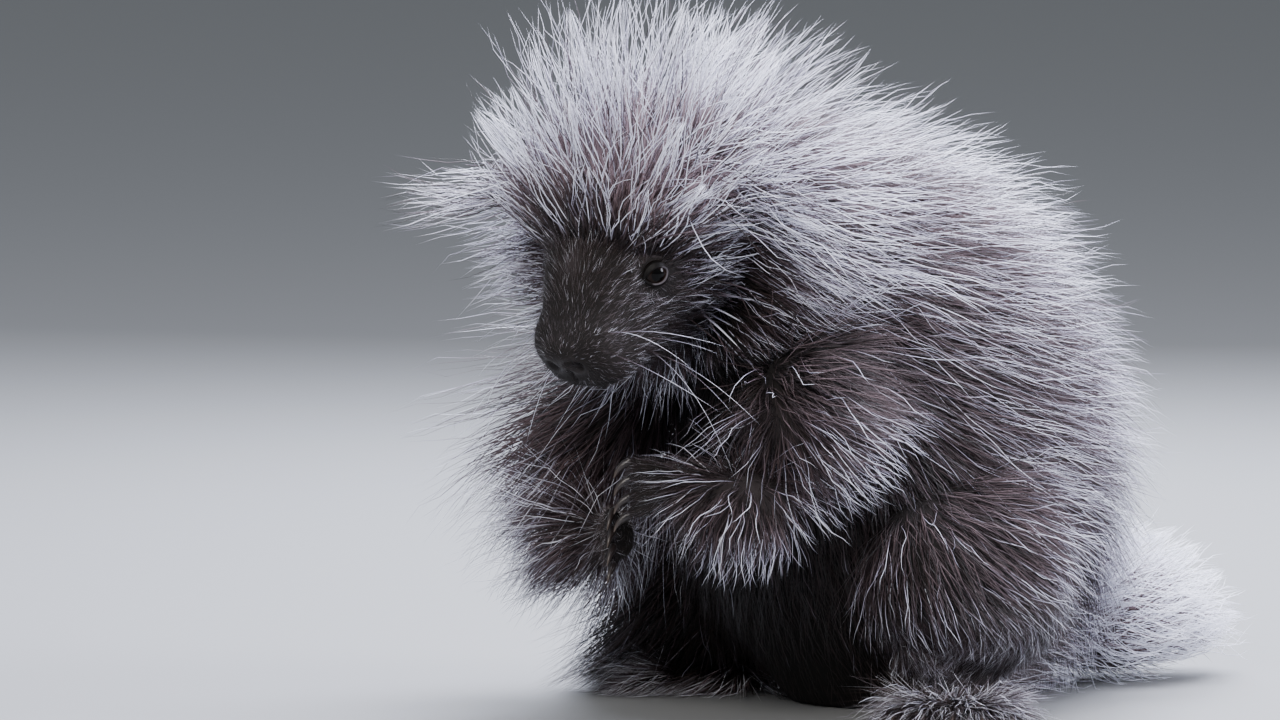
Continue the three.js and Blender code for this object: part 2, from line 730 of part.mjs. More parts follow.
function buildAnimal() {
  const random = randomFrom(hairSeed);
  const whole = (forms, grow = 0) => joined(forms.map((form) => form.solid(grow)));
  const sides = Object.keys(legSides);
  const arms = Object.fromEntries(sides.map((w) => [w, armForms(w)]));
  const paws = Object.fromEntries(sides.map((w) => [w, pawForms(w)]));
  const hinds = Object.fromEntries(sides.map((w) => [w, hindForms(w)]));
  const feet = Object.fromEntries(sides.map((w) => [w, footForms(w)]));

  for (const which of sides) {
    const side = legSides[which];
    const centre = eyeCentre(side);
    const eye = (grow) => {
      const r = eyeRadius + grow;
      return ball(centre, [r, r, r], headQuaternion, 10, 7);
    };
    addPart(`eye_${which}`, eye(0), eye(nodeGap), black);
    for (const one of [...paws[which].claws, ...feet[which].claws]) {
      addPart(one.name, clawSolid(one), clawSolid(one, nodeGap), claw);
    }
    const paw = [paws[which].palm, ...paws[which].digits];
    addPart(`forepaw_${which}`, whole(paw), whole(paw, nodeGap), bareSkin);
    const foot = [feet[which].sole, ...feet[which].digits];
    addPart(`hind_foot_${which}`, whole(foot), whole(foot, nodeGap), bareSkin);
    addPart(`ear_${which}`, earSolid(which), earSolid(which, nodeGap), darkFur);
  }

  const headForms = [skullForm, muzzleForm, chinForm, noseForm];
  const headCore = joined([whole(headForms).subtract(faceCuts()), lidsSolid(1), lidsSolid(-1)]);
  const neckCore = neckForm.solid();
  const torsoCore = torsoForm.solid();
  const tailCore = tailForm.solid();
  const armCores = sides.map((w) => whole(Object.values(arms[w])));
  const hindCores = sides.map((w) => whole(Object.values(hinds[w])));

  const head = coated(
    headCore,
    whole(headForms, nodeGap),
    rootsOn(skullForm, { from: 0.14, to: 0.74, rows: 6, spacing: 17, look: headLook(random), random }),
    [neckCore, ...sides.map((w) => earSolid(w, nodeGap))],
  );
  addPart("head", head.body, head.grown, darkFur);

  sides.forEach((which, i) => {
    const shoulder = [legSides[which] * 30, -20, hairFrom[which]];
    const look = limbLook(random, { joint: shoulder, length: 46, width: 20, lift: 62, spread: 0.7, drop: 0.2 });
    const roots = [
      ...rootsOn(arms[which].fore, { from: 0.1, to: 0.84, rows: 3, spacing: 26, look, random }),
      ...rootsOn(arms[which].upper, { from: 0.25, to: 0.85, rows: 2, spacing: 26, look, random }),
    ];
    const arm = coated(armCores[i], whole(Object.values(arms[which]), nodeGap), roots, [torsoCore]);
    addPart(`foreleg_${which}`, arm.body, arm.grown, greyFur);
  });

  const tail = coated(
    tailCore,
    tailForm.solid(nodeGap),
    rootsOn(tailForm, { from: 0.32, to: 0.95, rows: 4, spacing: 19, look: tailLook(random), random }),
    [torsoCore],
  );
  addPart("tail", tail.body, tail.grown, paleFur);

  const neck = coated(
    neckCore,
    neckForm.solid(nodeGap),
    rootsOn(neckForm, { from: 0.12, to: 0.74, rows: 3, spacing: 26, look: neckLook(random), random }),
    [headCore, torsoCore],
  );
  addPart("neck", neck.body, neck.grown, greyFur);

  sides.forEach((which, i) => {
    const hip = [legSides[which] * 40, 10, 110];
    const look = limbLook(random, { joint: hip, length: 34, width: 25, lift: 38, spread: 0.5, drop: 0.5 });
    const roots = rootsOn(hinds[which].thigh, { from: 0.25, to: 0.95, rows: 3, spacing: 36, look, random });
    const leg = coated(hindCores[i], whole(Object.values(hinds[which]), nodeGap), roots, [torsoCore]);
    addPart(`hind_leg_${which}`, leg.body, leg.grown, darkFur);
  });

  const torso = coated(
    torsoCore,
    torsoForm.solid(nodeGap),
    rootsOn(torsoForm, { from: 0.22, to: 0.93, rows: 8, spacing: 37, look: torsoLook(random), random }),
    [neckCore, tailCore, ...armCores, ...hindCores],
  );
  addPart("torso", torso.body, torso.grown, greyFur);
}

// Corners that lie within a step of each other fall together, and faces left with no width go
function welded(geometry, step) {
  const merged = mergeVertices(geometry, step);
  const index = merged.index.array;
  const faces = new Map();
  for (let i = 0; i < index.length; i += 3) {
    const face = [index[i], index[i + 1], index[i + 2]];
    if (new Set(face).size < 3) continue;
    const key = [...face].sort((a, b) => a - b).join();
    if (faces.has(key)) faces.delete(key);
    else faces.set(key, face);
  }
  return merged.setIndex([...faces.values()].flat());
}

// Whether every edge has just two faces
function isClosed(geometry) {
  const index = geometry.index.array;
  const edges = new Map();
  for (let i = 0; i < index.length; i += 3) {
    for (let k = 0; k < 3; k++) {
      const ends = [index[i + k], index[i + ((k + 1) % 3)]];
      const key = `${Math.min(...ends)} ${Math.max(...ends)}`;
      edges.set(key, (edges.get(key) ?? 0) + 1);
    }
  }
  return [...edges.values()].every((count) => count === 2);
}

// The solid as a mesh that stays closed when its corners are rounded and joined afresh
function cleaned(solid) {
  let geometry = geometryOf(solid);
  for (const step of [0.03, 0.02, 0.012, 0.006, 0.003, 0.03, 0.02, 0.01]) {
    const tidy = welded(geometry, step);
    if (!isClosed(tidy)) continue;
    const again = geometryOf(solidOf(tidy));
    if (isClosed(welded(again, 1e-4))) return tidy;
    geometry = again;
  }
  return geometry;
}

// Each node gives way to those before it, stands on the floor, and keeps its one largest body
function finished() {
  const group = new THREE.Group();
  group.name = "porcupine";
  const before = [];
  for (const part of parts) {
    let body = part.body;
    for (const grown of before) body = body.subtract(grown);
    body = body.intersect(aboveFloor);
    const pieces = body.decompose().sort((a, b) => b.volume() - a.volume());
    const mesh = new THREE.Mesh(cleaned(pieces[0]), new THREE.MeshStandardMaterial(part.material));
    mesh.name = part.name;
    group.add(mesh);
    before.push(part.grown.add(part.body));
  }
  return group;
}

buildAnimal();
const porcupine = finished();

export default porcupine;
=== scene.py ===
import math

import bmesh
import bpy
import numpy as np
from mathutils import Matrix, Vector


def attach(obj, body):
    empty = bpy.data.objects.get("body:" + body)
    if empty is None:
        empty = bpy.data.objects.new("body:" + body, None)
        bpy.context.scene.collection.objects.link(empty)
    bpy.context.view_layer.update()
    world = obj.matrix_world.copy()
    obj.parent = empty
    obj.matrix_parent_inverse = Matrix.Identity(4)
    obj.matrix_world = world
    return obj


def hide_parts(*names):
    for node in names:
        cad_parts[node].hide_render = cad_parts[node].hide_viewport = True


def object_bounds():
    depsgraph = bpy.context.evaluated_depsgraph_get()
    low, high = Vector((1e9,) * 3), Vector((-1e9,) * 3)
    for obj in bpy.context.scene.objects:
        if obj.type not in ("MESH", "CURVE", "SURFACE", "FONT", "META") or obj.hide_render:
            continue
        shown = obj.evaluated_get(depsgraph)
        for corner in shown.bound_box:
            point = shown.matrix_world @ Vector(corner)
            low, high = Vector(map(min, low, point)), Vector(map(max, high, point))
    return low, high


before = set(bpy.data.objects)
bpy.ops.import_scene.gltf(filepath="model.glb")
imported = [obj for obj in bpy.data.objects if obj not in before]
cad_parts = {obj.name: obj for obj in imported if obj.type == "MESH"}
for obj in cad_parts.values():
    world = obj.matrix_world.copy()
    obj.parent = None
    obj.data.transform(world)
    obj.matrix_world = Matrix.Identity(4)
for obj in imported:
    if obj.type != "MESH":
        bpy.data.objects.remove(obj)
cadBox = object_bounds()
scene = bpy.context.scene
metres = 0.001

animal = {
    "headPlace": (8.7, -136.1, 171.0),  # midway between the eyes
    "headPitch": 38.0,  # degrees the face is bowed
    "headYaw": 8.0,  # degrees the face is turned to its left
    "eyeRadius": 5.4,
    "eyeSpread": 24.5,
    "eyeRise": 6.5,
    "seed": 20417,
}
# Heights over the floor that nothing of the animal goes below
lowest = {"skin": 0.5, "hair": 0.5, "hairLine": 0.7, "claw": 0.35, "clawTip": 0.7}


# Small helpers

def toLinear(hexColour):
    values = [int(hexColour[i:i + 2], 16) / 255 for i in (1, 3, 5)]
    return [v / 12.92 if v <= 0.04045 else ((v + 0.055) / 1.055) ** 2.4 for v in values] + [1.0]


def unit(v):
    return v / np.maximum(np.linalg.norm(v, axis=-1, keepdims=True), 1e-9)


def dot(a, b):
    return np.sum(a * b, axis=-1)


def mix(a, b, t):
    return a + (b - a) * t


def ramp(low, high, x):  # 0 below low, 1 above high, an S-curve between
    t = np.clip((x - low) / (high - low), 0, 1)
    return t * t * (3 - 2 * t)


def column(x):
    return np.asarray(x)[..., None]


def bent(a, b, c, t):  # the curve that leaves a towards b and ends at c
    return (1 - t) ** 2 * a + 2 * t * (1 - t) * b + t**2 * c


def directions(x, y, z):  # vectors from three parts, each a number or an array
    return np.stack(np.broadcast_arrays(x, y, z), -1)


# Node helpers: each adds a node to the tree and returns it or its output

def addNode(tree, kind, inputs=None, **settings):
    node = tree.nodes.new(kind)
    for key, value in settings.items():
        setattr(node, key, value)
    for key, value in (inputs or {}).items():
        if isinstance(value, bpy.types.NodeSocket):
            tree.links.new(value, node.inputs[key])
        else:
            node.inputs[key].default_value = value
    return node


def pointValue(tree, name):
    return addNode(tree, "ShaderNodeAttribute", attribute_name=name).outputs["Fac"]


def timesPlus(tree, value, factor, added):
    inputs = {0: value, 1: factor, 2: added}
    return addNode(tree, "ShaderNodeMath", inputs, operation="MULTIPLY_ADD").outputs[0]


def noise(tree, scale, detail):  # scale: bumps in a metre
    place = addNode(tree, "ShaderNodeTexCoord").outputs["Object"]
    inputs = {"Vector": place, "Scale": scale, "Detail": detail}
    return addNode(tree, "ShaderNodeTexNoise", inputs).outputs["Fac"]


def bump(tree, height, strength, distance):
    inputs = {"Height": height, "Strength": strength, "Distance": distance}
    return addNode(tree, "ShaderNodeBump", inputs).outputs["Normal"]


def colourStops(tree, factor, stops):
    node = addNode(tree, "ShaderNodeValToRGB", {"Fac": factor})
    elements = node.color_ramp.elements
    while len(elements) < len(stops):
        elements.new(0.5)
    for element, (place, colour) in zip(elements, stops):
        element.position = place
        element.color = toLinear(colour)
    return node.outputs["Color"]


# A material with one Principled shader, whose inputs its recipe works out in the new tree
def newMaterial(name, recipe):
    material = bpy.data.materials.new(name)
    material.use_nodes = True
    tree = material.node_tree
    tree.nodes.clear()
    shader = addNode(tree, "ShaderNodeBsdfPrincipled", recipe(tree))
    addNode(tree, "ShaderNodeOutputMaterial", {"Surface": shader.outputs["BSDF"]})
    return material


# Surfaces

# A smooth curve through stations: between two of them, the cubic that four neighbours give
def alongStations(stations, u):
    s = np.asarray(stations, float)
    padded = np.vstack([2 * s[0] - s[1], s, 2 * s[-1] - s[-2]])
    x = np.clip(u, 0, 1) * (len(s) - 1)
    i = np.minimum(x.astype(int), len(s) - 2)
    t = (x - i)[..., None]
    a, b, c, d = (padded[i + k] for k in range(4))
    return 0.5 * (2 * b + (c - a) * t + (2 * a - 5 * b + 4 * c - d) * t**2 + (3 * b - a - 3 * c + d) * t**3)


def signedPower(x, p):
    return np.sign(x) * np.abs(x) ** p


# Rings round a line: c times a across it and s times b over it, c and s running round each ring
def ringsRound(line, across, over, a, b, c, s):
    across, over = np.broadcast_to(across, line.shape), np.broadcast_to(over, line.shape)
    wide = a[..., None, None] * column(c)
    high = b[..., None, None] * column(s)
    return line[..., None, :] + wide * across[..., None, :] + high * over[..., None, :]


# The middle, three directions and half sizes of a form at each u
def formFrame(form, u):
    got = alongStations(form["stations"], u)
    step = 1e-3
    ahead = alongStations(form["stations"], u + step)[..., :3]
    tangent = unit(ahead - alongStations(form["stations"], u - step)[..., :3])
    across = unit(np.broadcast_to(np.asarray(form["across"], float), tangent.shape))
    side = unit(across - column(dot(across, tangent)) * tangent)
    return got[..., :3], tangent, side, np.cross(tangent, side), got[..., 3:6]


# A fleshy form: superellipse rings carried along a curve, shrinking to a point at both ends as
# (1 - |2u - 1|^round)^(1/round), and smaller than its stations by the depth of its undercoat
def formSurface(form, rings=34, sides=40):
    u = (1 - np.cos(np.linspace(0, math.pi, rings))) / 2
    angle = np.linspace(0, 2 * math.pi, sides, endpoint=False)
    middle, tangent, side, deep, sizes = formFrame(form, u)
    rounding = form.get("round", 2.4)
    square = form.get("square", 2.3)
    end = np.maximum(1 - np.abs(2 * u - 1) ** rounding, 0) ** (1 / rounding)
    inset = sizes[:, 2]
    middle = middle - column(inset * (2 * u - 1)) * tangent
    shrink = inset * np.minimum(1, 3 * end)
    a, b = sizes[:, 0] * end - shrink, sizes[:, 1] * end - shrink
    c, s = signedPower(np.cos(angle), 2 / square), signedPower(np.sin(angle), 2 / square)
    return ringsRound(middle, side, deep, a, b, c, s)


# Faces of a grid of points that closes round its second direction, and as a loop also joins its
# last ring to its first
def gridFaces(rows, columns, loop=False):
    i, j = np.meshgrid(np.arange(rows if loop else rows - 1), np.arange(columns), indexing="ij")
    here, after = i * columns, (i + 1) % rows * columns
    beside = (j + 1) % columns
    return np.stack([here + j, here + beside, after + beside, after + j], -1).reshape(-1, 4)


# A mesh from points in millimetres and groups of faces, each group with its own number of corners
def meshFrom(name, points, faceGroups):
    mesh = bpy.data.meshes.new(name)
    points = np.asarray(points, float).reshape(-1, 3) * metres
    loops = np.concatenate([np.asarray(g, np.int32).ravel() for g in faceGroups])
    sizes = np.concatenate([np.full(len(g), len(g[0]), np.int32) for g in faceGroups])
    starts = np.concatenate([[0], np.cumsum(sizes)[:-1]]).astype(np.int32)
    mesh.vertices.add(len(points))
    mesh.vertices.foreach_set("co", points.astype(np.float32).ravel())
    mesh.loops.add(len(loops))
    mesh.loops.foreach_set("vertex_index", loops)
    mesh.polygons.add(len(sizes))
    mesh.polygons.foreach_set("loop_start", starts)
    mesh.update(calc_edges=True)
    mesh.shade_smooth()
    return mesh


def addObject(name, mesh, material=None):
    piece = bpy.data.objects.new(name, mesh)
    scene.collection.objects.link(piece)
    if material:
        mesh.materials.append(material)
    return piece


# A closed surface as an object from a grid of points, of which those that coincide become one
def gridPiece(name, grid, material=None, loop=False):
    piece = addObject(name, meshFrom(name, grid, [gridFaces(*grid.shape[:2], loop)]), material)
    tidy = bmesh.new()
    tidy.from_mesh(piece.data)
    bmesh.ops.remove_doubles(tidy, verts=tidy.verts, dist=2e-6)
    bmesh.ops.dissolve_degenerate(tidy, edges=tidy.edges, dist=1e-6)
    bmesh.ops.recalc_face_normals(tidy, faces=tidy.faces)
    tidy.to_mesh(piece.data)
    tidy.free()
    piece.data.shade_smooth()
    return piece


def setPointValues(mesh, **values):
    for name, array in values.items():
        attribute = mesh.attributes.new(name, "FLOAT", "POINT")
        attribute.data.foreach_set("value", np.asarray(array, np.float32).ravel())


# The head's own directions

pitch = math.radians(animal["headPitch"])
yaw = math.radians(animal["headYaw"])
headPlace = np.array(animal["headPlace"])
leftward = np.array([math.cos(yaw), math.sin(yaw), 0])
facing = np.array([math.sin(yaw) * math.cos(pitch), -math.cos(yaw) * math.cos(pitch), -math.sin(pitch)])
crown = np.array([math.sin(yaw) * math.sin(pitch), -math.cos(yaw) * math.sin(pitch), math.cos(pitch)])


def onHead(left, forward, up):
    return headPlace + left * leftward + forward * facing + up * crown


def headStation(left, forward, up, across, deep, inset):
    return [*onHead(left, forward, up), across, deep, inset]


def headPlaces(points):  # how far left, forward and up each point is from between the eyes
    local = points - headPlace
    return dot(local, leftward), dot(local, facing), dot(local, crown)


# The body's forms: x, y, z, half size across, half size deep, depth of undercoat left above

forms = {
    "torso": {
        "stations": [
            [0, 22, -46, 70, 84, 13], [0, 18, 30, 87, 97, 14], [0, 8, 90, 85, 92, 14],
            [0, -10, 140, 78, 84, 14], [0, -40, 184, 68, 70, 12], [0, -66, 218, 56, 54, 11],
        ],
        "across": (1, 0, 0), "round": 2.2, "zone": "torso",
    },
    "neck": {
        "stations": [
            [6, -114, 182, 36, 34, 9], [4, -94, 186, 48, 46, 10],
            [1, -64, 180, 54, 52, 11], [0, -40, 166, 52, 50, 11],
        ],
        "across": (1, 0, 0), "zone": "neck",
    },
    "skull": {
        "stations": [
            headStation(0, -58, -4, 32, 34, 8), headStation(0, -34, 2, 36, 36, 7),
            headStation(0, -8, 1, 31, 31, 3), headStation(0, 12, -4, 26, 26, 1.2),
            headStation(0, 32, -9, 26, 24, 0.9),
        ],
        "across": leftward, "round": 2.6, "zone": "head",
    },
    "muzzle": {
        "stations": [
            headStation(0, -4, -8, 22, 21, 0.8), headStation(0, 14, -7, 22, 20, 0.8),
            headStation(0, 29, -9, 21, 18, 0.8), headStation(0, 40, -11, 20, 16, 0.8),
        ],
        "across": leftward, "round": 3, "square": 2.6, "zone": "head",
    },
    "chin": {
        "stations": [
            headStation(0, -18, -20, 20, 12, 1), headStation(0, 6, -23, 15, 9, 0.8),
            headStation(0, 24, -25, 11, 7, 0.8),
        ],
        "across": leftward, "zone": "head",
    },
    "nose": {
        "stations": [
            headStation(0, 26, -1, 12, 8, 0.6), headStation(0, 35, -3.5, 12, 9, 0.6),
            headStation(0, 42, -7, 10.5, 7, 0.6),
        ],
        "across": leftward, "zone": "head",
    },
    "tail": {
        "stations": [
            [0, 84, 32, 34, 30, 8], [0, 112, 24, 30, 26, 8], [1, 138, 18, 24, 20, 6],
            [2, 160, 15, 17, 15, 5], [3, 176, 13, 12, 11, 4],
        ],
        "across": (1, 0, 0), "zone": "tail",
    },
}

legSides = {"left": 1, "right": -1}
armDrop = {"left": 0, "right": 19}
pawReach = {"left": (20, -111, 89), "right": (-15, -113, 69)}
fingers, toes = 4, 5
heel = (62, -6)
toeTurn = math.radians(46)
footLength = 50
clawLength, clawRadius = 11, 2.0
claws = {}


# On the floor, where a heel is, the way ahead along its foot and the way aside over its toes
def footDirections(which):
    side = legSides[which]
    ahead = np.array([side * math.sin(toeTurn), -math.cos(toeTurn)])
    return np.array([side * heel[0], heel[1]]), ahead, np.array([-ahead[1], ahead[0]])


# Forms of one side's legs, paws and feet, and for each claw its root, heading and curl
def addLegs(which):
    side = legSides[which]
    drop = armDrop[which]

    def arm(x, y, z, a, b, inset, share):
        return [side * x, y, z - drop * share, a, b, inset]

    forms[f"upperArm_{which}"] = {
        "stations": [
            arm(44, -54, 150, 26, 26, 6, 0.2), arm(60, -80, 124, 25, 26, 6, 0.6),
            arm(65, -95, 98, 21, 22, 5, 1),
        ],
        "across": (side, 0, 0), "zone": f"arm_{which}",
    }
    forms[f"foreArm_{which}"] = {
        "stations": [
            arm(67, -91, 92, 19, 19, 5, 1), arm(51, -103, 88, 17, 17, 5, 1),
            arm(33, -110, 88, 14, 13, 3, 1), arm(20, -111, 89, 11, 10, 1.5, 1),
        ],
        "across": (0, 0, 1), "zone": f"arm_{which}",
    }
    x, y, z = pawReach[which]
    forms[f"palm_{which}"] = {
        "stations": [
            [x + side * 6, y + 4, z, 8, 8, 0.4], [x - side * 2, y - 3, z + 2, 9, 7, 0.4],
            [x - side * 9, y - 8, z + 4, 9, 6, 0.4],
        ],
        "across": (0, 0, 1), "zone": "paw",
    }
    for i in range(fingers):
        spread = (i - (fingers - 1) / 2) * 4.6
        knuckle = np.array([x - side, y - 3, z + 3 + spread * 0.8])
        tip = np.array([x - side * 14, y - 15, z + 3 + spread * 1.5])
        bend = (knuckle + tip) / 2 + [-side, -2, 0]
        forms[f"finger_{which}_{i + 1}"] = {
            "stations": [[*knuckle, 3.8, 3.8, 0.3], [*bend, 3.6, 3.6, 0.3], [*tip, 3.2, 3.2, 0.3]],
            "across": (0, 0, 1), "zone": "paw",
        }
        claws[f"claw_fore_{which}_{i + 1}"] = (
            tip + [side * 0.8, 0.8, 0], (side * -0.55, -0.75, -0.35), (side * 0.35, 0.2, -0.85),
        )
    forms[f"thigh_{which}"] = {
        "stations": [
            [side * 50, 42, 58, 40, 46, 9], [side * 62, 4, 56, 44, 52, 9],
            [side * 70, -34, 52, 36, 42, 8], [side * 72, -56, 46, 26, 30, 6],
        ],
        "across": (side, 0, 0), "zone": f"leg_{which}",
    }
    forms[f"shank_{which}"] = {
        "stations": [
            [side * 74, -46, 44, 21, 21, 5], [side * 72, -18, 24, 18, 18, 4], [side * 68, 6, 13, 15, 14, 2],
        ],
        "across": (side, 0, 0), "zone": f"leg_{which}",
    }
    heelPlace, ahead, aside = footDirections(which)

    def spot(forward, sideways, height):
        return [*(heelPlace + ahead * forward + aside * sideways), height]

    forms[f"sole_{which}"] = {
        "stations": [
            [*spot(-8, 0, 4), 12, 13, 0.4], [*spot(14, 0, 4), 15, 14, 0.5],
            [*spot(footLength * 0.72, 0, 3), 18, 11, 0.5],
        ],
        "across": (*aside, 0), "zone": f"foot_{which}",
    }
    for i in range(toes):
        fan = (i - (toes - 1) / 2) / 2
        reach = footLength * (1.0 - 0.1 * fan * fan)
        forms[f"toe_{which}_{i + 1}"] = {
            "stations": [
                [*spot(reach * 0.4, fan * 10, 4.5), 5.5, 5.5, 0.3],
                [*spot(reach * 0.76, fan * 17, 5.8), 5, 5.4, 0.3],
                [*spot(reach, fan * 21, 4), 4.2, 4.2, 0.3],
            ],
            "across": (*aside, 0), "zone": f"foot_{which}",
        }
        out = ahead + aside * fan * 0.3
        claws[f"claw_hind_{which}_{i + 1}"] = (
            np.array(spot(reach - 3, fan * 20.5, 4.8)), (*out, 0.15), (*(out * 0.6), -0.75),
        )


for which in legSides:
    addLegs(which)

ears = {"spread": 29, "back": -33, "up": 21, "size": (10.5, 5.5, 14.5), "wall": 2.8, "hollow": 0.82}


# An ear: a profile that runs out over the back of a flattened bowl, round its rim and back down
# its hollow, turned round the way that the ear opens. At s its reach is sin(pi s) and its depth
# -cos(pi s), times the sizes of the back and then of the hollow.
def earSurface(which):
    side = legSides[which]
    centre = onHead(side * ears["spread"], ears["back"], ears["up"])
    opening = unit(facing * 0.72 + side * leftward * 0.62 - crown * 0.1)
    leaning = crown + side * leftward * 0.35
    tall = unit(leaning - dot(leaning, opening) * opening)
    halfWide, deep, halfTall = ears["size"]
    s = np.linspace(0, 1, 25)
    angle = np.linspace(0, 2 * math.pi, 30, endpoint=False)
    reach = np.sin(math.pi * s) * np.where(s < 0.5, 1, ears["hollow"])
    depth = -np.cos(math.pi * s) * np.where(s < 0.5, deep, ears["wall"] - deep)
    line = centre + column(depth) * opening
    wide = np.cross(opening, tall)
    return ringsRound(line, wide, tall, reach * halfWide, reach * halfTall, np.cos(angle), np.sin(angle))


# One skin over all the forms

skinShape = {"voxel": 1.8, "smoothing": 4}


def eyeDirections(side):  # where an eyeball is, where it looks, and its long and short ways
    centre = onHead(side * animal["eyeSpread"], 0, animal["eyeRise"])
    look = unit(side * 0.86 * leftward + 0.46 * facing + 0.16 * crown)
    front = facing - 0.12 * crown
    front = unit(front - dot(front, look) * look)
    return centre, look, front, np.cross(front, look) * side


# How far points are from an eye's centre, which way, and by how many degrees off its look
def fromEye(at, centre, look):
    reach = np.linalg.norm(at - centre, axis=-1)
    out = (at - centre) / column(reach)
    return reach, out, np.degrees(np.arccos(np.clip(dot(out, look), -1, 1)))


# The forms' shells joined in one object and turned into one closed skin on an even grid
def joinForms():
    shells = [gridPiece(f"shell_{name}", formSurface(form)) for name, form in forms.items()]
    shells += [gridPiece(f"shell_ear_{which}", earSurface(which)) for which in legSides]
    with bpy.context.temp_override(
        active_object=shells[0], object=shells[0], selected_objects=shells, selected_editable_objects=shells
    ):
        bpy.ops.object.join()
    body = shells[0]
    body.name = "porcupine_skin"
    body.data.name = "porcupine_skin"
    remesh = body.modifiers.new("oneSkin", "REMESH")
    remesh.mode = "VOXEL"
    remesh.voxel_size = skinShape["voxel"] * metres
    remesh.use_smooth_shade = True
    smoothing = body.modifiers.new("softened", "SMOOTH")
    smoothing.factor = 0.5
    smoothing.iterations = skinShape["smoothing"]
    evaluated = body.evaluated_get(bpy.context.evaluated_depsgraph_get())
    whole = bpy.data.meshes.new_from_object(evaluated)
    body.modifiers.clear()
    old = body.data
    body.data = whole
    bpy.data.meshes.remove(old)
    return body


# The face's mesh is cut twice as fine, so that lids, nostrils and lips can be shaped in it
def refineFace(body):
    fine = bmesh.new()
    fine.from_mesh(body.data)
    chosen = []
    middle = onHead(0, 14, -6) * metres
    reach = 40 * metres
    for edge in fine.edges:
        away = np.array((edge.verts[0].co + edge.verts[1].co) / 2) - middle
        if away @ away < reach * reach:
            chosen.append(edge)
    bmesh.ops.subdivide_edges(fine, edges=chosen, cuts=1, use_grid_fill=True, smooth=0.6)
    bmesh.ops.triangulate(fine, faces=[f for f in fine.faces if len(f.verts) > 4])
    fine.to_mesh(body.data)
    fine.free()


# Sockets, nostrils, the lips' line and the folds of the face, as moves of the skin's points
def shapeFace(points, normals):
    left, forward, up = headPlaces(points)
    moved = points.copy()
    radius = animal["eyeRadius"]
    for side in (1, -1):
        centre, look, _, _ = eyeDirections(side)
        reach, out, slant = fromEye(points, centre, look)
        pit = ramp(72, 54, slant) * (reach < radius + 5)
        wanted = mix(reach, np.minimum(reach, radius - 1.2), pit)
        moved = moved + out * column(wanted - reach)
        bulge = ramp(11, 6, reach) * ramp(60, 86, slant) * 0.9  # the soft ring of flesh round the lids
        moved = moved + normals * column(bulge)
    for side in (1, -1):  # nostrils: comma-shaped pits that slant out and back
        across = (left - side * 5.4) * 0.85 + side * (up + 7) * 0.35
        upright = (up + 7.2) - side * (left - side * 5.4) * 0.3
        pit = np.exp(-((across / 1.9) ** 2) - (upright / 2.7) ** 2) * (forward > 34)
        rim = np.exp(-((np.hypot(across / 3.6, upright / 4.4) - 1) ** 2) * 9) * (forward > 34)
        moved = moved - facing * column(pit * 4.2) + facing * column(rim * 0.5)
    lipLine = -18.4 - 0.0030 * left**2 - 0.004 * np.maximum(12 - forward, 0) ** 2
    groove = np.exp(-(((up - lipLine) / 0.95) ** 2)) * ramp(-6, 8, forward)
    lips = np.exp(-(((np.abs(up - lipLine) - 2.2) / 1.5) ** 2)) * ramp(4, 18, forward)
    split = np.exp(-((left / 0.8) ** 2)) * ramp(34, 38, forward) * ramp(-19, -17, up) * ramp(-8.5, -11, up)
    moved = moved + normals * column(lips * 0.5 - groove * 1.9 - split * 1.5)
    folds = np.sin(forward * 1.15 + 0.016 * left**2) * np.exp(-(((forward - 31) / 6) ** 2)) * (up > -2)
    return moved + normals * column(folds * 0.14)


def meshArrays(mesh):
    points = np.empty(len(mesh.vertices) * 3, np.float32)
    mesh.vertices.foreach_get("co", points)
    normals = np.empty(len(mesh.vertices) * 3, np.float32)
    mesh.vertices.foreach_get("normal", normals)
    mesh.calc_loop_triangles()
    triangles = np.empty(len(mesh.loop_triangles) * 3, np.int32)
    mesh.loop_triangles.foreach_get("vertices", triangles)
    edges = np.empty(len(mesh.edges) * 2, np.int32)
    mesh.edges.foreach_get("vertices", edges)
    return (
        points.reshape(-1, 3).astype(float) / metres,
        normals.reshape(-1, 3).astype(float),
        triangles.reshape(-1, 3),
        edges.reshape(-1, 2),
    )


skin = joinForms()
refineFace(skin)
points, normals, _, _ = meshArrays(skin.data)
points = shapeFace(points, normals)
points[:, 2] = np.maximum(points[:, 2], lowest["skin"])
skin.data.vertices.foreach_set("co", (points * metres).astype(np.float32).ravel())
skin.data.update()
points, normals, triangles, edges = meshArrays(skin.data)
print("skin:", len(points), "points,", len(triangles), "triangles")


# How the coat lies: values at each point of the skin, taken up by every hair that roots there

alongForm = np.linspace(0.02, 0.98, 22)  # the places along each form that points are measured from


# How far each point is outside each form, and at which of those places it lies nearest
def nearForms(where):
    outside = []
    place = []
    for form in forms.values():
        middle, tangent, side, deep, sizes = formFrame(form, alongForm)
        end = (1 - np.abs(2 * alongForm - 1) ** 3) ** (1 / 3)
        a = (sizes[:, 0] - sizes[:, 2]) * end
        b = (sizes[:, 1] - sizes[:, 2]) * end
        best = np.full(len(where), 1e9)
        at = np.zeros(len(where), int)
        for k in range(len(alongForm)):
            away = where - middle[k]
            scale = np.sqrt((away @ side[k] / a[k]) ** 2 + (away @ deep[k] / b[k]) ** 2
                            + (away @ tangent[k] / ((a[k] + b[k]) / 2)) ** 2)
            gap = (scale - 1) * (a[k] + b[k]) / 2
            closer = gap < best
            best[closer] = gap[closer]
            at[closer] = k
        outside.append(best)
        place.append(at)
    return np.array(outside), np.array(place)


zoneNames = ["torso", "neck", "head", "tail", "arm_left", "arm_right", "paw",
             "leg_left", "leg_right", "foot_left", "foot_right"]


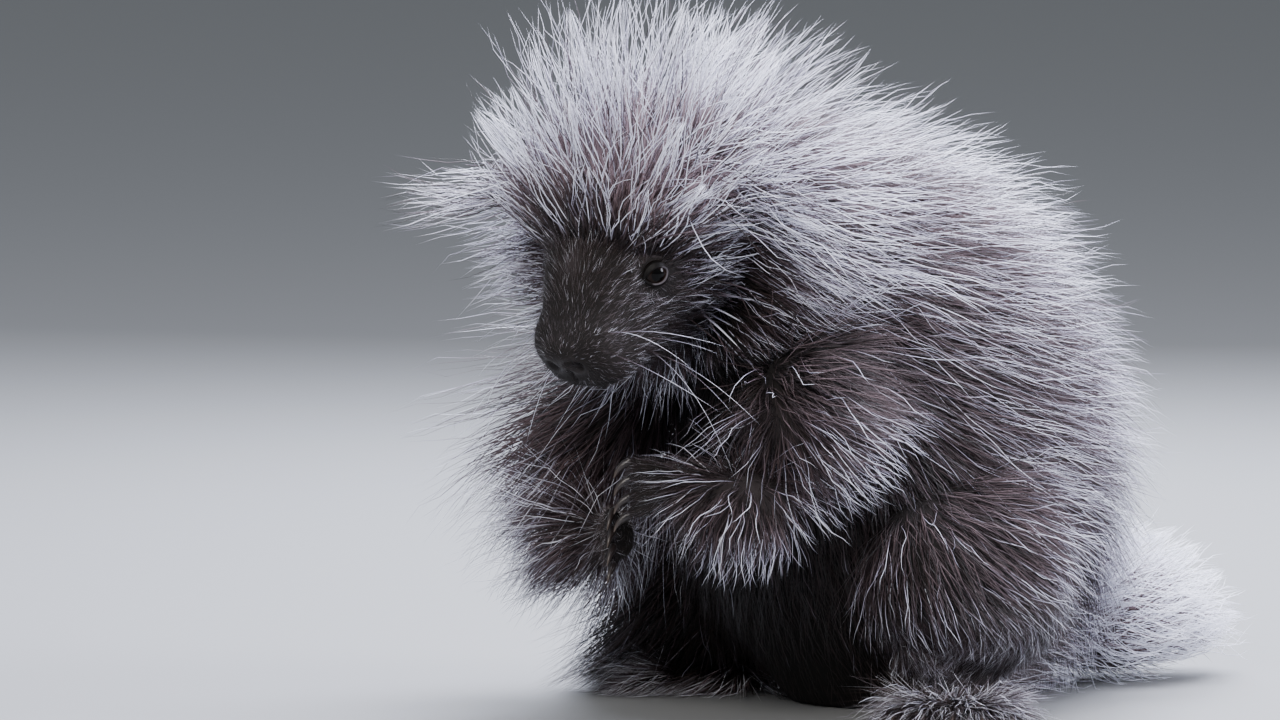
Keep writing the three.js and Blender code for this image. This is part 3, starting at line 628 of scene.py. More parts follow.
# How much each zone has of each point: exp(-distance / 3 mm), shared out to a sum of 1
def zoneShares(where):
    outside, _ = nearForms(where)
    byZone = np.full((len(zoneNames), len(where)), 1e9)
    for form, gap in zip(forms.values(), outside):
        z = zoneNames.index(form["zone"])
        byZone[z] = np.minimum(byZone[z], gap)
    weight = np.exp(-(byZone - byZone.min(0)) / 3.0)
    return weight / weight.sum(0)


hairLook = {
    "torso": {"flank": 60, "back": 68, "belly": 30, "lift": (24, 38), "endLift": (8, 20)},
    "neck": {"length": 66, "lift": (24, 50), "endLift": (9, 32)},
    "mane": {"brow": 50, "crown": 79, "cheek": 64, "farCheek": 76},
    "face": {"length": 8.5, "lift": 36},
    "arm": {"length": 38, "farLength": 56, "lift": 42, "endLift": 18},
    "leg": {"length": 46, "lift": 15, "endLift": 5},
    "tail": {"length": 50, "lift": (40, 68), "endLift": (14, 52)},
    "foot": {"length": 25, "lift": 36},
    "paw": {"length": 7, "lift": 26},
}

# Values at each point: the heading of the lie in three parts, length, lift at the root, lift at the
# tip, frost with painted light (how white the tips are, lowered for painted shade and raised for
# painted highlight in places), and how thickly guard hair, wool and short fur grow
lengthAt, liftAt, endLiftAt, frostAt, guardAt, woolAt, shortAt = range(3, 10)


def coatValues(p, heading, length, lift, endLift, frost, guard=0, wool=0, short=0):
    parts = [*np.moveaxis(heading, -1, 0), length, lift, endLift, frost, guard, wool, short]
    return np.stack([np.broadcast_to(part, len(p)) for part in parts], -1)


# The way the hair streams over neck, shoulder, flank and haunch: back along the body, rising over
# the shoulders and falling by an angle that grows down to the haunch and eases at the floor, and is
# greatest behind the forelegs. Where the surface faces forwards the hair parts to the sides,
# outwards above and downwards below, and on the rump it turns down.
def bodyFlow(p, n):
    (x, y, z), (nx, ny, nz) = p.T, n.T
    fall = np.interp(z, [12, 40, 90, 130, 170, 200, 240], [8, 26, 19, 12, 5, -5, -14])
    fall = np.radians(fall + 32 * ramp(0, -70, y) * ramp(152, 96, z) * ramp(10, 60, z))
    outwards = np.clip(x / 20, -1, 1) * ramp(0.98, 0.75, nz) * ramp(0.25, -0.2, ny)
    high = ramp(112, 140, z)
    back = directions(outwards * 0.8, np.cos(fall), -np.sin(fall))
    parted = directions(outwards * mix(0.45, 0.95, high), 0.1, mix(-1.0, -0.4, high))
    down = directions(0.3 * nx, 0.3, -1)
    lie = mix(back, parted, column(ramp(0.1, 0.7, -ny)))
    return unit(mix(lie, down, column(ramp(0.55, 0.95, ny))))


def torsoField(p, n):
    look = hairLook["torso"]
    (_, y, z), (nx, ny, nz) = p.T, n.T
    back = np.clip(nz * 1.3 + ny * 0.4, 0, 1)
    belly = ramp(0.45, 0.75, np.clip(-ny, 0, 1))
    under = ramp(-0.2, -0.8, nz)
    frost = 0.34 + 0.36 * ramp(140, 225, z) + 0.26 * ramp(-10, 100, y) * ramp(0, 90, z) - 0.4 * belly
    return coatValues(
        p,
        heading=mix(bodyFlow(p, n), unit(directions(nx * 0.6, -0.1, -1)), column(belly)),
        length=mix(mix(look["flank"], look["back"], back), look["belly"], belly) * (1 - 0.5 * under),
        lift=mix(mix(*look["lift"], back), 26, belly),
        endLift=mix(mix(*look["endLift"], back), 8, belly),
        # Low on the front of the body, by the forelegs, the frost falls by 0.42: painted shade
        frost=frost - 0.42 * ramp(-10, -70, y) * ramp(190, 140, z),
        guard=(1 - 0.45 * belly) * (1 - 0.9 * under),
        wool=1 - 0.8 * under,
    )


# On the far side the neck's hair stands out as a ruff; in front, between the forelegs, it hangs
def neckField(p, n):
    look = hairLook["neck"]
    (x, y, z), (nx, ny, nz) = p.T, n.T
    _, forward, _ = headPlaces(p)
    top = np.clip(nz * 1.4, 0, 1)
    far = ramp(0.1, -0.5, nx)
    farSide, nearSide = far * (1 - top), (1 - far) * (1 - top)
    ruff = ramp(-58, -112, y)
    behind = mix(ramp(-12, -50, forward), 1.0, np.maximum(top, far))
    front = ramp(0.35, 0.8, -ny) * ramp(24, 8, x)
    flared = unit(directions(nx * 1.2, mix(0.5, -0.9, ruff), mix(-0.7, -0.15, ruff)))
    heading = mix(unit(bodyFlow(p, n)), flared, column(farSide * (1 - front)))
    return coatValues(
        p,
        heading=mix(heading, np.array([0, -0.3, -1.0]), column(front)),
        length=look["length"] * (1 - 0.4 * front) * mix(0.3, 1.0, behind),
        lift=mix(mix(mix(14, look["lift"][0], behind), look["lift"][1], top), 62, farSide),
        endLift=mix(mix(*look["endLift"], top), 38, farSide),
        # In front, between the forelegs, the frost falls by 0.4, and low on the near side by 0.34: painted
        # shade of the throat
        frost=0.4 + 0.5 * top - 0.4 * front + 0.25 * far - 0.34 * nearSide * ramp(186, 148, z),
        guard=1.3 - 0.6 * front,
        wool=1.4,
    )


# The near cheek's hair lies back and fans from level to steeply down, the far one's stands out
def headField(p, n):
    look = hairLook["mane"]
    left, forward, up = headPlaces(p)
    border = mix(-11, 5.5, np.clip((up + 6) / 26, 0, 1))
    top = np.clip((dot(n, crown) + 0.1) / 0.6, 0, 1)
    far = ramp(0.2, -0.4, n[:, 0]) * (1 - top)
    behindEye = ramp(-3, -24, forward + 0.25 * up)
    mane = mix(behindEye, ramp(2.5, -5, forward - border), np.maximum(top, far))
    brow = np.clip((forward + 14) / 18, 0, 1)
    low = ramp(2, -24, up)
    nearCheek = directions(0.12, mix(1.0, 0.7, low), mix(-0.02, -0.7, low))
    farCheek = directions(n[:, 0] * 0.7, -0.55, -0.1 - 0.3 * low)
    cheek = mix(unit(nearCheek), unit(farCheek), column(far))
    swept = mix(unit(cheek), -facing, column(top))
    sides = column(np.clip(left / 20, -1, 1)) * leftward * 0.35
    brushed = unit(-facing + sides - column(ramp(-4, -20, up)) * crown * 0.6)
    crest = mix(look["crown"], look["brow"], brow)
    crest = crest * (1 - 0.3 * ramp(6, 30, left) - 0.42 * ramp(4, 30, -left))
    jaw = ramp(-14, -24, up) * ramp(24, 6, forward)
    short = hairLook["face"]["length"] * (1 - 0.5 * ramp(14, 34, forward)) + 11 * jaw
    # Paler by 0.46 over the top of the muzzle's bridge: grey hair there, partly a painted sheen
    bridge = np.exp(-((left / 9) ** 2) - ((forward - 12) / 9) ** 2) * (up > 0)
    # Darker by 0.2 above and behind the eye: dark brow fur, partly painted shade under the brow
    brows = ramp(0, 8, up) * ramp(4, -8, forward)
    # Paler by 0.2 beside the muzzle: painted light lifting the shaded side of the face
    besideMuzzle = ramp(12, 20, np.abs(left)) * ramp(-4, 16, forward)
    underEye = ramp(4, -8, forward) * ramp(8, -6, up)
    shortFrostAndPaintedLight = 0.2 + 0.46 * bridge - 0.06 * jaw + 0.2 * besideMuzzle - 0.2 * brows + 0.2 * underEye
    # Lower down the near cheek the frost falls by 0.45: painted shade under the cheek
    cheekFrostAndPaintedShade = 0.95 - 0.45 * low * (1 - far) - 0.53 * far
    return coatValues(
        p,
        heading=mix(brushed, swept, column(mane)),
        length=mix(short, mix(mix(look["cheek"], look["farCheek"], far), crest, top), mane),
        lift=mix(hairLook["face"]["lift"], mix(mix(mix(24, 30, low), 66, far), 78, top), mane),
        endLift=mix(14, mix(mix(8, 46, far), mix(66, 76, brow), top), mane),
        frost=mix(shortFrostAndPaintedLight, mix(cheekFrostAndPaintedShade, 0.96, top) + 0.1 * far, mane),
        guard=np.sqrt(mane) * mix(2.6, 0.6, top),
        wool=2.6 * np.sqrt(mane),
        short=ramp(0.85, 0.2, mane),
    )


# The forearm's hair fans out and down from a whorl near the elbow
def armField(p, n, which):
    look = hairLook["arm"]
    side, drop = legSides[which], armDrop[which]
    height = p[:, 2] + drop
    whorl = np.array([side * 63, -113, 124 - drop])
    radial = unit(unit(p - whorl) - np.array([0, 0, 0.4]))
    fore = ramp(135, 122, height)
    wrist = ramp(38, 24, side * p[:, 0])
    if which == "left":
        heading = mix(bodyFlow(p, n), radial, column(fore))
        long, frosted = look["length"], 0
    else:
        heading = mix(radial, np.array([-0.8, -0.28, -0.55]), 0.9)
        long, frosted = look["farLength"], 0.22
    return coatValues(
        p,
        heading=heading,
        length=long * (1 - 0.7 * wrist) * mix(1.5, 1, fore) * (1 - 0.25 * ramp(104, 84, height)),
        lift=mix(11, look["lift"], fore),
        endLift=mix(4, look["endLift"], fore),
        # The upper arm's frost stays at 0.16 and rises by 0.42 over the forearm: the dark upper arm is
        # painted shade of the throat above the whorl
        frost=0.16 + 0.42 * fore - 0.25 * wrist + frosted,
        guard=1.4 + 0.8 * fore,
        wool=1.5,
        short=0.4 * wrist,
    )


# On the near leg the instep's hair runs down to the toes. The far knee's hair hangs to the ground
# in front of the foot.
def legField(p, n, which):
    look = hairLook["leg"]
    z = p[:, 2]
    low = ramp(88, 34, z)
    under = ramp(-0.3, -0.8, n[:, 2])
    heading = bodyFlow(p, n) - 0.12 * np.array([0, 0, 1])
    length = look["length"] * (1 - 0.6 * low) * (1 - 0.5 * under)
    heelPlace, ahead, _ = footDirections(which)
    along = (p[:, :2] - heelPlace) @ ahead
    instep = ramp(54, 32, z) * ramp(-24, 0, along) * (which == "left")
    heading = mix(heading, np.array([*ahead, -0.7]), column(instep))
    if which == "right":
        front = ramp(20, -40, p[:, 1])
        under = under * (1 - front)
        heading = mix(heading, np.array([-0.6, -0.35, -0.75]), column(front))
        length = mix(length, look["length"] * 1.5, front)
    return coatValues(
        p,
        heading=heading,
        length=length,
        lift=look["lift"] + 14 * instep,
        endLift=look["endLift"],
        # Towards the front and low down the frost falls, to 0.1 at the front of the knee: painted shade. On
        # the near instep it rises by 0.3: painted highlight on the lit foot
        frost=0.1 + 0.16 * ramp(30, 90, z) + 0.4 * ramp(-50, 40, p[:, 1]) + 0.3 * instep,
        guard=1.2 * (1 - 0.8 * under),
        wool=1.5 * (1 - 0.6 * under),
        short=1.2 * ramp(60, 36, z),
    )


def tailField(p, n):
    look = hairLook["tail"]
    top = np.clip(n[:, 2], 0, 1)
    under = ramp(-0.2, -0.7, n[:, 2])
    return coatValues(
        p,
        heading=unit(directions(n[:, 0] * 0.4, 1, 0.1)),
        length=look["length"] * (1 - 0.5 * under),
        lift=mix(*look["lift"], top),
        endLift=mix(*look["endLift"], top),
        frost=0.4 + 0.3 * ramp(84, 124, p[:, 1]),
        guard=2.2 * (1 - 0.9 * under),
        wool=1.6 * (1 - 0.7 * under),
    )


# The foot's tufts fan out over the toes
def footField(p, n, which):
    look = hairLook["foot"]
    heelPlace, ahead, aside = footDirections(which)
    away = p[:, :2] - heelPlace
    top = ramp(-0.25, 0.25, n[:, 2])
    fanned = ahead + column(np.clip(away @ aside / 24, -1, 1)) * aside
    return coatValues(
        p,
        heading=unit(directions(*fanned.T, -0.55)),
        length=look["length"] * (1 - 0.4 * ramp(38, 54, away @ ahead)),
        lift=look["lift"],
        endLift=2,
        # Paler by 0.1 on top: painted highlight where light falls on the foot
        frost=0.66 + 0.1 * top,
        guard=3.2 * top,
        wool=1.2 * top,
        short=1.6 * top,
    )


def pawField(p, n):
    look = hairLook["paw"]
    outwards = np.where(p[:, 0] > 2, 1.0, -1.0)
    return coatValues(
        p,
        heading=unit(directions(-0.8 * outwards, -0.8, -0.35)),
        length=look["length"],
        lift=look["lift"],
        endLift=6,
        frost=0.26,
        short=2.2 * ramp(-0.4, 0.2, n @ np.array([0, -0.5, 0.6])),
    )


def coatFields(p, n):
    made = {"torso": torsoField(p, n), "neck": neckField(p, n), "head": headField(p, n),
            "tail": tailField(p, n), "paw": pawField(p, n)}
    for which in legSides:
        made[f"arm_{which}"] = armField(p, n, which)
        made[f"leg_{which}"] = legField(p, n, which)
        made[f"foot_{which}"] = footField(p, n, which)
    shares = zoneShares(p)
    return sum(column(share) * made[name] for share, name in zip(shares, zoneNames)), shares


# Each value moves towards the mean of its neighbours', so that one region's lie turns into the next
def evened(values, rounds):
    count = np.zeros(len(values))
    np.add.at(count, edges.ravel(), 1)
    for _ in range(rounds):
        total = np.zeros_like(values)
        for part in range(values.shape[1]):
            v = values[:, part]
            total[:, part] = np.bincount(edges[:, 0], v[edges[:, 1]], len(values))
            total[:, part] += np.bincount(edges[:, 1], v[edges[:, 0]], len(values))
        values = mix(values, total / column(np.maximum(count, 1)), 0.5)
    return values


fields, shares = coatFields(points, normals)
isFace = shares[zoneNames.index("head")] > 0.5
fields = np.where(column(isFace), evened(fields, 3), evened(fields, 14))

# No hair grows in the eye sockets and little on the nose, and hair near an eye is brushed away
left, forward, up = headPlaces(points)
for side in (1, -1):
    centre, look, _, _ = eyeDirections(side)
    reach, out, slant = fromEye(points, centre, look)
    bare = (reach < 7.0) & (slant < 61)
    fields[bare, guardAt:] = 0
    near = ramp(14, 7, reach)
    fields[:, :3] = mix(fields[:, :3], out, column(near) * 0.8)
    fields[:, lengthAt] *= 1 - 0.45 * near * (fields[:, lengthAt] < 14)
    if side < 0:  # the ruff round the far eye is short, so that it leaves the eye free
        fields[:, lengthAt] *= mix(0.3, 1, np.maximum(ramp(10, 34, reach), ramp(10, 18, up)))
noseBare = ramp(35, 41, forward) * ramp(10, 6, np.abs(left)) * ramp(-15, -11, up) * ramp(0, -5, up)
fields[:, shortAt] *= 1 - 0.7 * noseBare
bareness = np.clip(noseBare + shares[zoneNames.index("paw")] * ramp(0.1, -0.4, normals[:, 2]), 0, 1)
for which in legSides:
    sole = shares[zoneNames.index(f"foot_{which}")] * ramp(0.0, -0.5, normals[:, 2])
    bareness = np.maximum(bareness, sole)
print("coat laid out")


# Hair: thin tapered three-sided strands, each closed, rooted under the skin

random = np.random.default_rng(animal["seed"])
triPoints = points[triangles]
triCross = np.cross(triPoints[:, 1] - triPoints[:, 0], triPoints[:, 2] - triPoints[:, 0])
triAreas = np.linalg.norm(triCross, axis=-1) / 2


# Roots spread evenly over the skin by the weight at its points: place, normal and coat values
def rootsFor(count, weight):
    share = triAreas * weight[triangles].mean(1)
    total = np.cumsum(share)
    pick = np.searchsorted(total, (np.arange(count) + random.random(count)) / count * total[-1])
    pick = np.minimum(pick, len(triangles) - 1)
    a, b = random.random((2, count))
    flip = a + b > 1
    a[flip], b[flip] = 1 - a[flip], 1 - b[flip]
    weights = np.stack([1 - a - b, a, b], -1)
    corners = triangles[pick]
    place = np.einsum("nk,nkd->nd", weights, points[corners])
    normal = unit(np.einsum("nk,nkd->nd", weights, normals[corners]))
    return place, normal, np.einsum("nk,nkd->nd", weights, fields[corners])


whorlLift = (74, 46)  # degrees that long hair stands up in a whorl, at its root and tip


# A strand's middle line: it sets off at its root's lift and turns down to its tip's, drifting and
# waving to the sides, with its weight drawing the tip down. Long hair stands up in a whorl, where
# the lie has no clear heading.
def strandLines(place, normal, field, spec):
    count = len(place)
    segments = spec["segments"]
    heading = field[:, :3]
    lie = heading - column(dot(heading, normal)) * normal
    whorl = ramp(0.5, 0.1, np.linalg.norm(lie, axis=-1)) * ramp(12, 24, field[:, lengthAt])
    lie = unit(lie + normal * 1e-6)
    side = np.cross(lie, normal)
    sway = random.normal(0, spec["wander"], count)
    phase = random.random(count) * 2 * math.pi
    pace = random.uniform(0.7, 1.6, count) * 2 * math.pi
    kinks = random.normal(0, spec.get("kink", 0), (2, segments, count))
    full = np.clip(random.normal(1, spec.get("uneven", 0.14), count), 0.5, 1.14) * spec["scale"]
    length = np.minimum(field[:, lengthAt], spec.get("longest", 200)) * full
    loose, liftShift = spec.get("loose", 1), spec.get("liftShift", 0)
    start = mix(field[:, liftAt], whorlLift[0], whorl) + random.normal(0, 6 * loose, count) + liftShift
    finish = mix(field[:, endLiftAt], whorlLift[1], whorl) + random.normal(0, 8 * loose, count) + liftShift
    lines = np.empty((count, segments + 1, 3))
    sink = np.minimum(1.2, length * 0.15)
    lines[:, 0] = place - normal * column(sink)
    for k in range(segments):
        t = (k + 0.5) / segments
        lift = np.radians(np.clip(mix(start, finish, t), 2, 88))
        bend = sway * (0.4 + t) + spec["wave"] * np.sin(pace * t + phase) + kinks[0, k]
        weight = 0.1 * t * np.clip(length / 60, 0, 1)
        rising, onwards = column(np.sin(lift) + kinks[1, k]), column(np.cos(lift))
        step = normal * rising + lie * onwards + side * column(bend)
        step[:, 2] -= weight
        lines[:, k + 1] = lines[:, k] + unit(step) * column(length / segments)
    return lines, side, length


# Hairs that root in the same small patch draw together towards their tips, where they run alike
def gather(lines, place, patch, strength):
    loose = place + random.normal(0, patch * 0.18, place.shape)
    keys = np.floor(loose / patch).astype(int)
    _, group = np.unique(keys, axis=0, return_inverse=True)
    group = group.ravel()
    count = np.bincount(group)
    flat = lines.reshape(len(lines), -1)
    mean = np.stack([np.bincount(group, part) / count for part in flat.T], -1).reshape(-1, *lines.shape[1:])
    t = column(np.linspace(0, 1, lines.shape[1]))
    pull = np.clip(random.normal(strength, strength * 0.5, len(lines)), 0, 0.95)
    shared = mean[group]
    alike = dot(unit(lines[:, -1] - lines[:, 0]), unit(shared[:, -1] - shared[:, 0]))
    pull = (pull * ramp(0.6, 0.9, alike))[:, None, None]
    return lines + (shared - lines) * pull * t**1.4


def taper(t, bluntness):  # full at the root, narrowing to nothing at the tip
    return (1 - t**bluntness) ** 0.8


hairPatch = 0.003  # the side of each strand's square on the baked map


# Strands as one mesh: three-sided rings along each line, a cap at the root and one point at the
# tip. On the map each strand is a patch at its root's place: across it round the strand, up it to
# the tip.
def strandMesh(name, lines, side, width, thick, bluntness, frost, atlas):
    count, segments = len(lines), lines.shape[1] - 1
    tangent = unit(np.gradient(lines, axis=1))[:, :segments]
    across = unit(side[:, None] - column(dot(side[:, None], tangent)) * tangent)
    over = np.cross(tangent, across)
    t = np.arange(segments) / segments
    turn = 2 * math.pi * np.arange(3) / 3 + math.pi / 2
    narrowing = taper(t, bluntness)[None]
    w, h = width[:, None] / 2 * narrowing, thick[:, None] / 2 * narrowing
    rings = ringsRound(lines[:, :segments], across, over, w, h, np.cos(turn), np.sin(turn))
    together = np.concatenate([rings.reshape(count, -1, 3), lines[:, segments:]], 1)
    together[..., 2] = np.maximum(together[..., 2], lowest["hair"])
    each = segments * 3 + 1
    base = (np.arange(count) * each)[:, None, None]
    k, j = np.meshgrid(np.arange(segments - 1), np.arange(3), indexing="ij")
    beside = (j + 1) % 3
    quads = np.stack([k * 3 + j, k * 3 + beside, (k + 1) * 3 + beside, (k + 1) * 3 + j], -1).reshape(-1, 4)
    last, tip = (segments - 1) * 3, each - 1
    caps = np.array([[2, 1, 0], *([last + i, last + (i + 1) % 3, tip] for i in range(3))])
    faceGroups = [(base + quads).reshape(-1, 4), (base + caps).reshape(-1, 3)]
    mesh = meshFrom(name, together, [g for g in faceGroups if len(g)])
    along = np.broadcast_to(np.append(np.repeat(t, 3), 1.0), (count, each))
    tone = random.random(count)
    setPointValues(mesh, along=along, frost=np.repeat(frost, each), tone=np.repeat(tone, each))
    upwards = np.stack([k, k, k + 1, k + 1], -1).reshape(-1, 4) / segments
    sideways = np.stack([j, j + 1, j + 1, j], -1).reshape(-1, 4) / 3
    rootPatch = [[0.2, 0.0], [0.8, 0.0], [0.5, 0.12]]
    low = (segments - 1) / segments
    tipPatches = [[[i / 3, low], [(i + 1) / 3, low], [(i + 0.5) / 3, 1]] for i in range(3)]
    corner = atlas[:, None, None]
    uvQuads = corner + np.stack([sideways, upwards], -1) * hairPatch
    uvCaps = corner + np.array([rootPatch, *tipPatches]) * hairPatch
    layer = mesh.uv_layers.new(name="OFBake")
    layer.data.foreach_set("uv", np.concatenate([uvQuads.ravel(), uvCaps.ravel()]).astype(np.float32))
    return mesh


# The unwrap: each form that the roots grow on is unrolled, its length up and its girth across, and
# the forms stand side by side in strips as wide as their share of the roots
def unrolled(place):
    outside, at = nearForms(place)
    nearest = outside.argmin(0)
    made = np.zeros((len(place), 2))
    counts = np.bincount(nearest, minlength=len(forms)) + 0.0
    used = np.where(counts > 0)[0]
    widths = np.maximum(counts[used] / counts.sum(), 0.02)
    widths = widths / widths.sum()
    starts = np.concatenate([[0], np.cumsum(widths)])
    gap = 0.004
    for slot, form in enumerate(used):
        mine = nearest == form
        u = alongForm[at[form][mine]]
        middle, tangent, side, deep, _ = formFrame(list(forms.values())[form], u)
        away = place[mine] - middle
        u = u + np.clip(dot(away, tangent) / 400, -0.02, 0.02)
        angle = np.arctan2(dot(away, deep), dot(away, side)) / (2 * math.pi) + 0.5
        made[mine, 0] = starts[slot] + angle * (widths[slot] - gap)
        made[mine, 1] = u
    return 0.002 + made * 0.99


pastBox = 6  # how far hair may stand past the CAD's box
boxLow = np.array(cadBox[0]) / metres - pastBox
boxHigh = np.array(cadBox[1]) / metres + pastBox


# One piece of the coat: roots by weight, strands that may gather, each as thick as its length allows
def growCoat(name, spec, material, weight):
    place, normal, field = rootsFor(spec["count"], weight)
    lines, side, length = strandLines(place, normal, field, spec)
    if spec.get("gather"):
        lines = gather(lines, place, *spec["gather"])
    lines = np.clip(lines, boxLow, boxHigh)
    lines[..., 2] = np.maximum(lines[..., 2], lowest["hairLine"])
    fine = np.clip(length / 30, 0.45, 1)
    width = spec["width"] * fine * random.uniform(0.75, 1.25, len(place))
    thick = width * spec["flatness"]
    frost = field[:, frostAt] + random.normal(0, spec["spread"], len(place)) + spec.get("frostShift", 0)
    mesh = strandMesh(name, lines, side, width, thick, spec["bluntness"], frost, unrolled(place))
    piece = addObject(name, mesh, material)
    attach(piece, "root")
    faces = spec["count"] * (6 * (spec["segments"] - 1) + 4)
    print(name, spec["count"], "hairs,", faces, "triangles")


# Materials

# Guard hair: keratin, hollow and air-filled towards the tip, which gives the silver-white ends over
# a brown-black root. Roughness 0.42 gives each hair a soft glint along its length. Wool and short
# fur are the same keratin, duller. The colour's place on its stops is fromRoot * along + start
# + fromFrostAndPaintedLight * frost + fromTone * tone, where the frost value also holds painted shade and
#   painted
# highlight.
def hairMaterial(name, stops, rises, roughness=0.42, warmth=0.25):
    def recipe(tree):
        fromRoot, start, fromFrostAndPaintedLight, fromTone = rises
        rise = timesPlus(tree, pointValue(tree, "along"), fromRoot, start)
        whole = timesPlus(tree, pointValue(tree, "frost"), fromFrostAndPaintedLight, rise)
        varied = timesPlus(tree, pointValue(tree, "tone"), fromTone, whole)
        patches = noise(tree, 28.0, 3.0)
        share = addNode(tree, "ShaderNodeMath", {0: patches, 1: warmth}, operation="MULTIPLY")
        warm = addNode(
            tree, "ShaderNodeMix",
            {0: share.outputs[0], 6: colourStops(tree, varied, stops), 7: toLinear("#7a5a48")},
            data_type="RGBA", blend_type="SOFT_LIGHT",
        )
        colour = warm.outputs[2]
        return {"Base Color": colour, "Roughness": roughness, "IOR": 1.55, "Specular IOR Level": 0.45}

    return newMaterial(name, recipe)


guardHair = hairMaterial("guard hair, keratin with air-filled tips", [
    (0.0, "#140d0c"), (0.24, "#2a1e1e"), (0.42, "#66575f"), (0.58, "#bab9cc"), (0.72, "#f3f4ff"),
], (0.75, -0.46, 0.62, 0.32))
woolHair = hairMaterial("underfur, fine matt wool", [
    (0.0, "#0f0a09"), (0.2, "#2c1f1f"), (0.45, "#554447"), (0.72, "#7f7079"), (1.0, "#d2d2e0"),
], (0.5, -0.08, 0.26, 0.14), roughness=0.75, warmth=0.4)
shortHair = hairMaterial("short face and foot fur, keratin", [
    (0.0, "#0b0605"), (0.3, "#1e120f"), (0.55, "#3d2c28"), (0.78, "#877f88"), (1.0, "#e2e4ec"),
], (0.45, -0.1, 0.5, 0.18), roughness=0.5, warmth=0.3)


# Skin under the coat: dark living hide, matt where furred, finely pitted and a little moist where
# bare on nose and soles. Its pale and dark parts follow the coat's frost value, so they carry the
# coat's painted shade and painted highlight too.
def hide(tree):
    frost, bare = pointValue(tree, "frost"), pointValue(tree, "bare")
    furColour = colourStops(tree, frost, [(0.0, "#0c0908"), (0.5, "#1d1614"), (1.0, "#4c4446")])
    bareColour = colourStops(tree, noise(tree, 900.0, 4.0), [(0.3, "#0f0b0a"), (0.7, "#231a17")])
    colour = addNode(tree, "ShaderNodeMix", {0: bare, 6: furColour, 7: bareColour}, data_type="RGBA")
    place = addNode(tree, "ShaderNodeTexCoord").outputs["Object"]
    pores = addNode(tree, "ShaderNodeTexVoronoi", {"Vector": place, "Scale": 1400.0})  # 0.7 mm apart
    grain = noise(tree, 600.0, 6.0)
    relief = addNode(tree, "ShaderNodeMix", {0: bare, 2: grain, 3: pores.outputs["Distance"]})
    return {
        "Base Color": colour.outputs[2], "Roughness": timesPlus(tree, bare, -0.35, 0.85),
        "Normal": bump(tree, relief.outputs[0], 0.6, 0.0004), "IOR": 1.45, "Specular IOR Level": 0.4,
    }


# Eyeball: a wet cornea over an almost black iris, which gives a small sharp highlight
def cornea(tree):
    stops = [(0.0, "#020202"), (0.42, "#040303"), (0.5, "#1a0f0a"), (0.85, "#0d0806")]
    colour = colourStops(tree, pointValue(tree, "iris"), stops)
    return {"Base Color": colour, "Roughness": 0.06, "IOR": 1.34, "Specular IOR Level": 0.25}


# Eyelid: thin moist skin, dark on the outside and pale grey along the lower margin
def lidSkin(tree):
    stops = [(0.0, "#0c0908"), (0.45, "#171110"), (1.0, "#555054")]
    return {
        "Base Color": colourStops(tree, pointValue(tree, "margin"), stops), "Roughness": 0.55,
        "Normal": bump(tree, noise(tree, 1500.0, 4.0), 0.5, 0.0002), "IOR": 1.36, "Specular IOR Level": 0.3,
    }


# Claw: grown horn, dark at the root and a little paler and worn towards the tip, with a fine
# roughness that spreads the highlight
def horn(tree):
    stops = [(0.0, "#171110"), (0.55, "#2b2321"), (1.0, "#54473d")]
    return {
        "Base Color": colourStops(tree, pointValue(tree, "along"), stops), "Roughness": 0.34,
        "Normal": bump(tree, noise(tree, 1200.0, 3.0), 0.35, 0.0002), "IOR": 1.54,
    }


# The skin takes the coat's frost value, with its painted shade and painted highlight
setPointValues(skin.data, frost=np.clip(fields[:, frostAt], 0, 1), bare=bareness)
skin.data.materials.append(newMaterial("porcupine hide, furred and bare", hide))
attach(skin, "root")
pairedParts = ("foreleg", "hind_leg", "forepaw", "hind_foot", "ear")
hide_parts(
    "head", "neck", "torso", "tail",
    *(f"{part}_{which}" for part in pairedParts for which in legSides),
)


# Eyes

# In degrees off the line of sight: the opening's half length and height, what its corners add, the
# lids' outer edge and the slant of the opening. "fold" scales the lids' thickness.
eyeShape = {"opening": (44, 34), "corner": 7, "backCorner": 3, "outerEdge": 68, "fold": 0.8, "tilt": 22}


# Points of an eye: radius away from its centre, theta off its line of sight and phi round that line
def onEye(which, radius, theta, phi):
    centre, look, front, high = eyeDirections(legSides[which])
    radius, theta, phi = (column(v) for v in np.broadcast_arrays(radius, theta, phi))
    sideways = np.cos(phi) * front + np.sin(phi) * high
    return centre + radius * (np.cos(theta) * look + np.sin(theta) * sideways)


# An eyeball: a sphere whose poles lie on the line of sight, fuller over the cornea by
# 0.22 exp(-(theta / 0.62)^2) mm
def makeEye(which, material):
    theta = column(np.linspace(0, math.pi, 33))
    phi = np.linspace(0, 2 * math.pi, 48, endpoint=False)
    radius = animal["eyeRadius"] + 0.22 * np.exp(-((theta / 0.62) ** 2))
    eye = gridPiece(f"eyeball_{which}", onEye(which, radius, theta, phi), material)
    centre, look, _, _ = eyeDirections(legSides[which])
    _, _, slant = fromEye(meshArrays(eye.data)[0], centre, look)
    setPointValues(eye.data, iris=slant / 60)
    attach(eye, "root")
    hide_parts(f"eye_{which}")


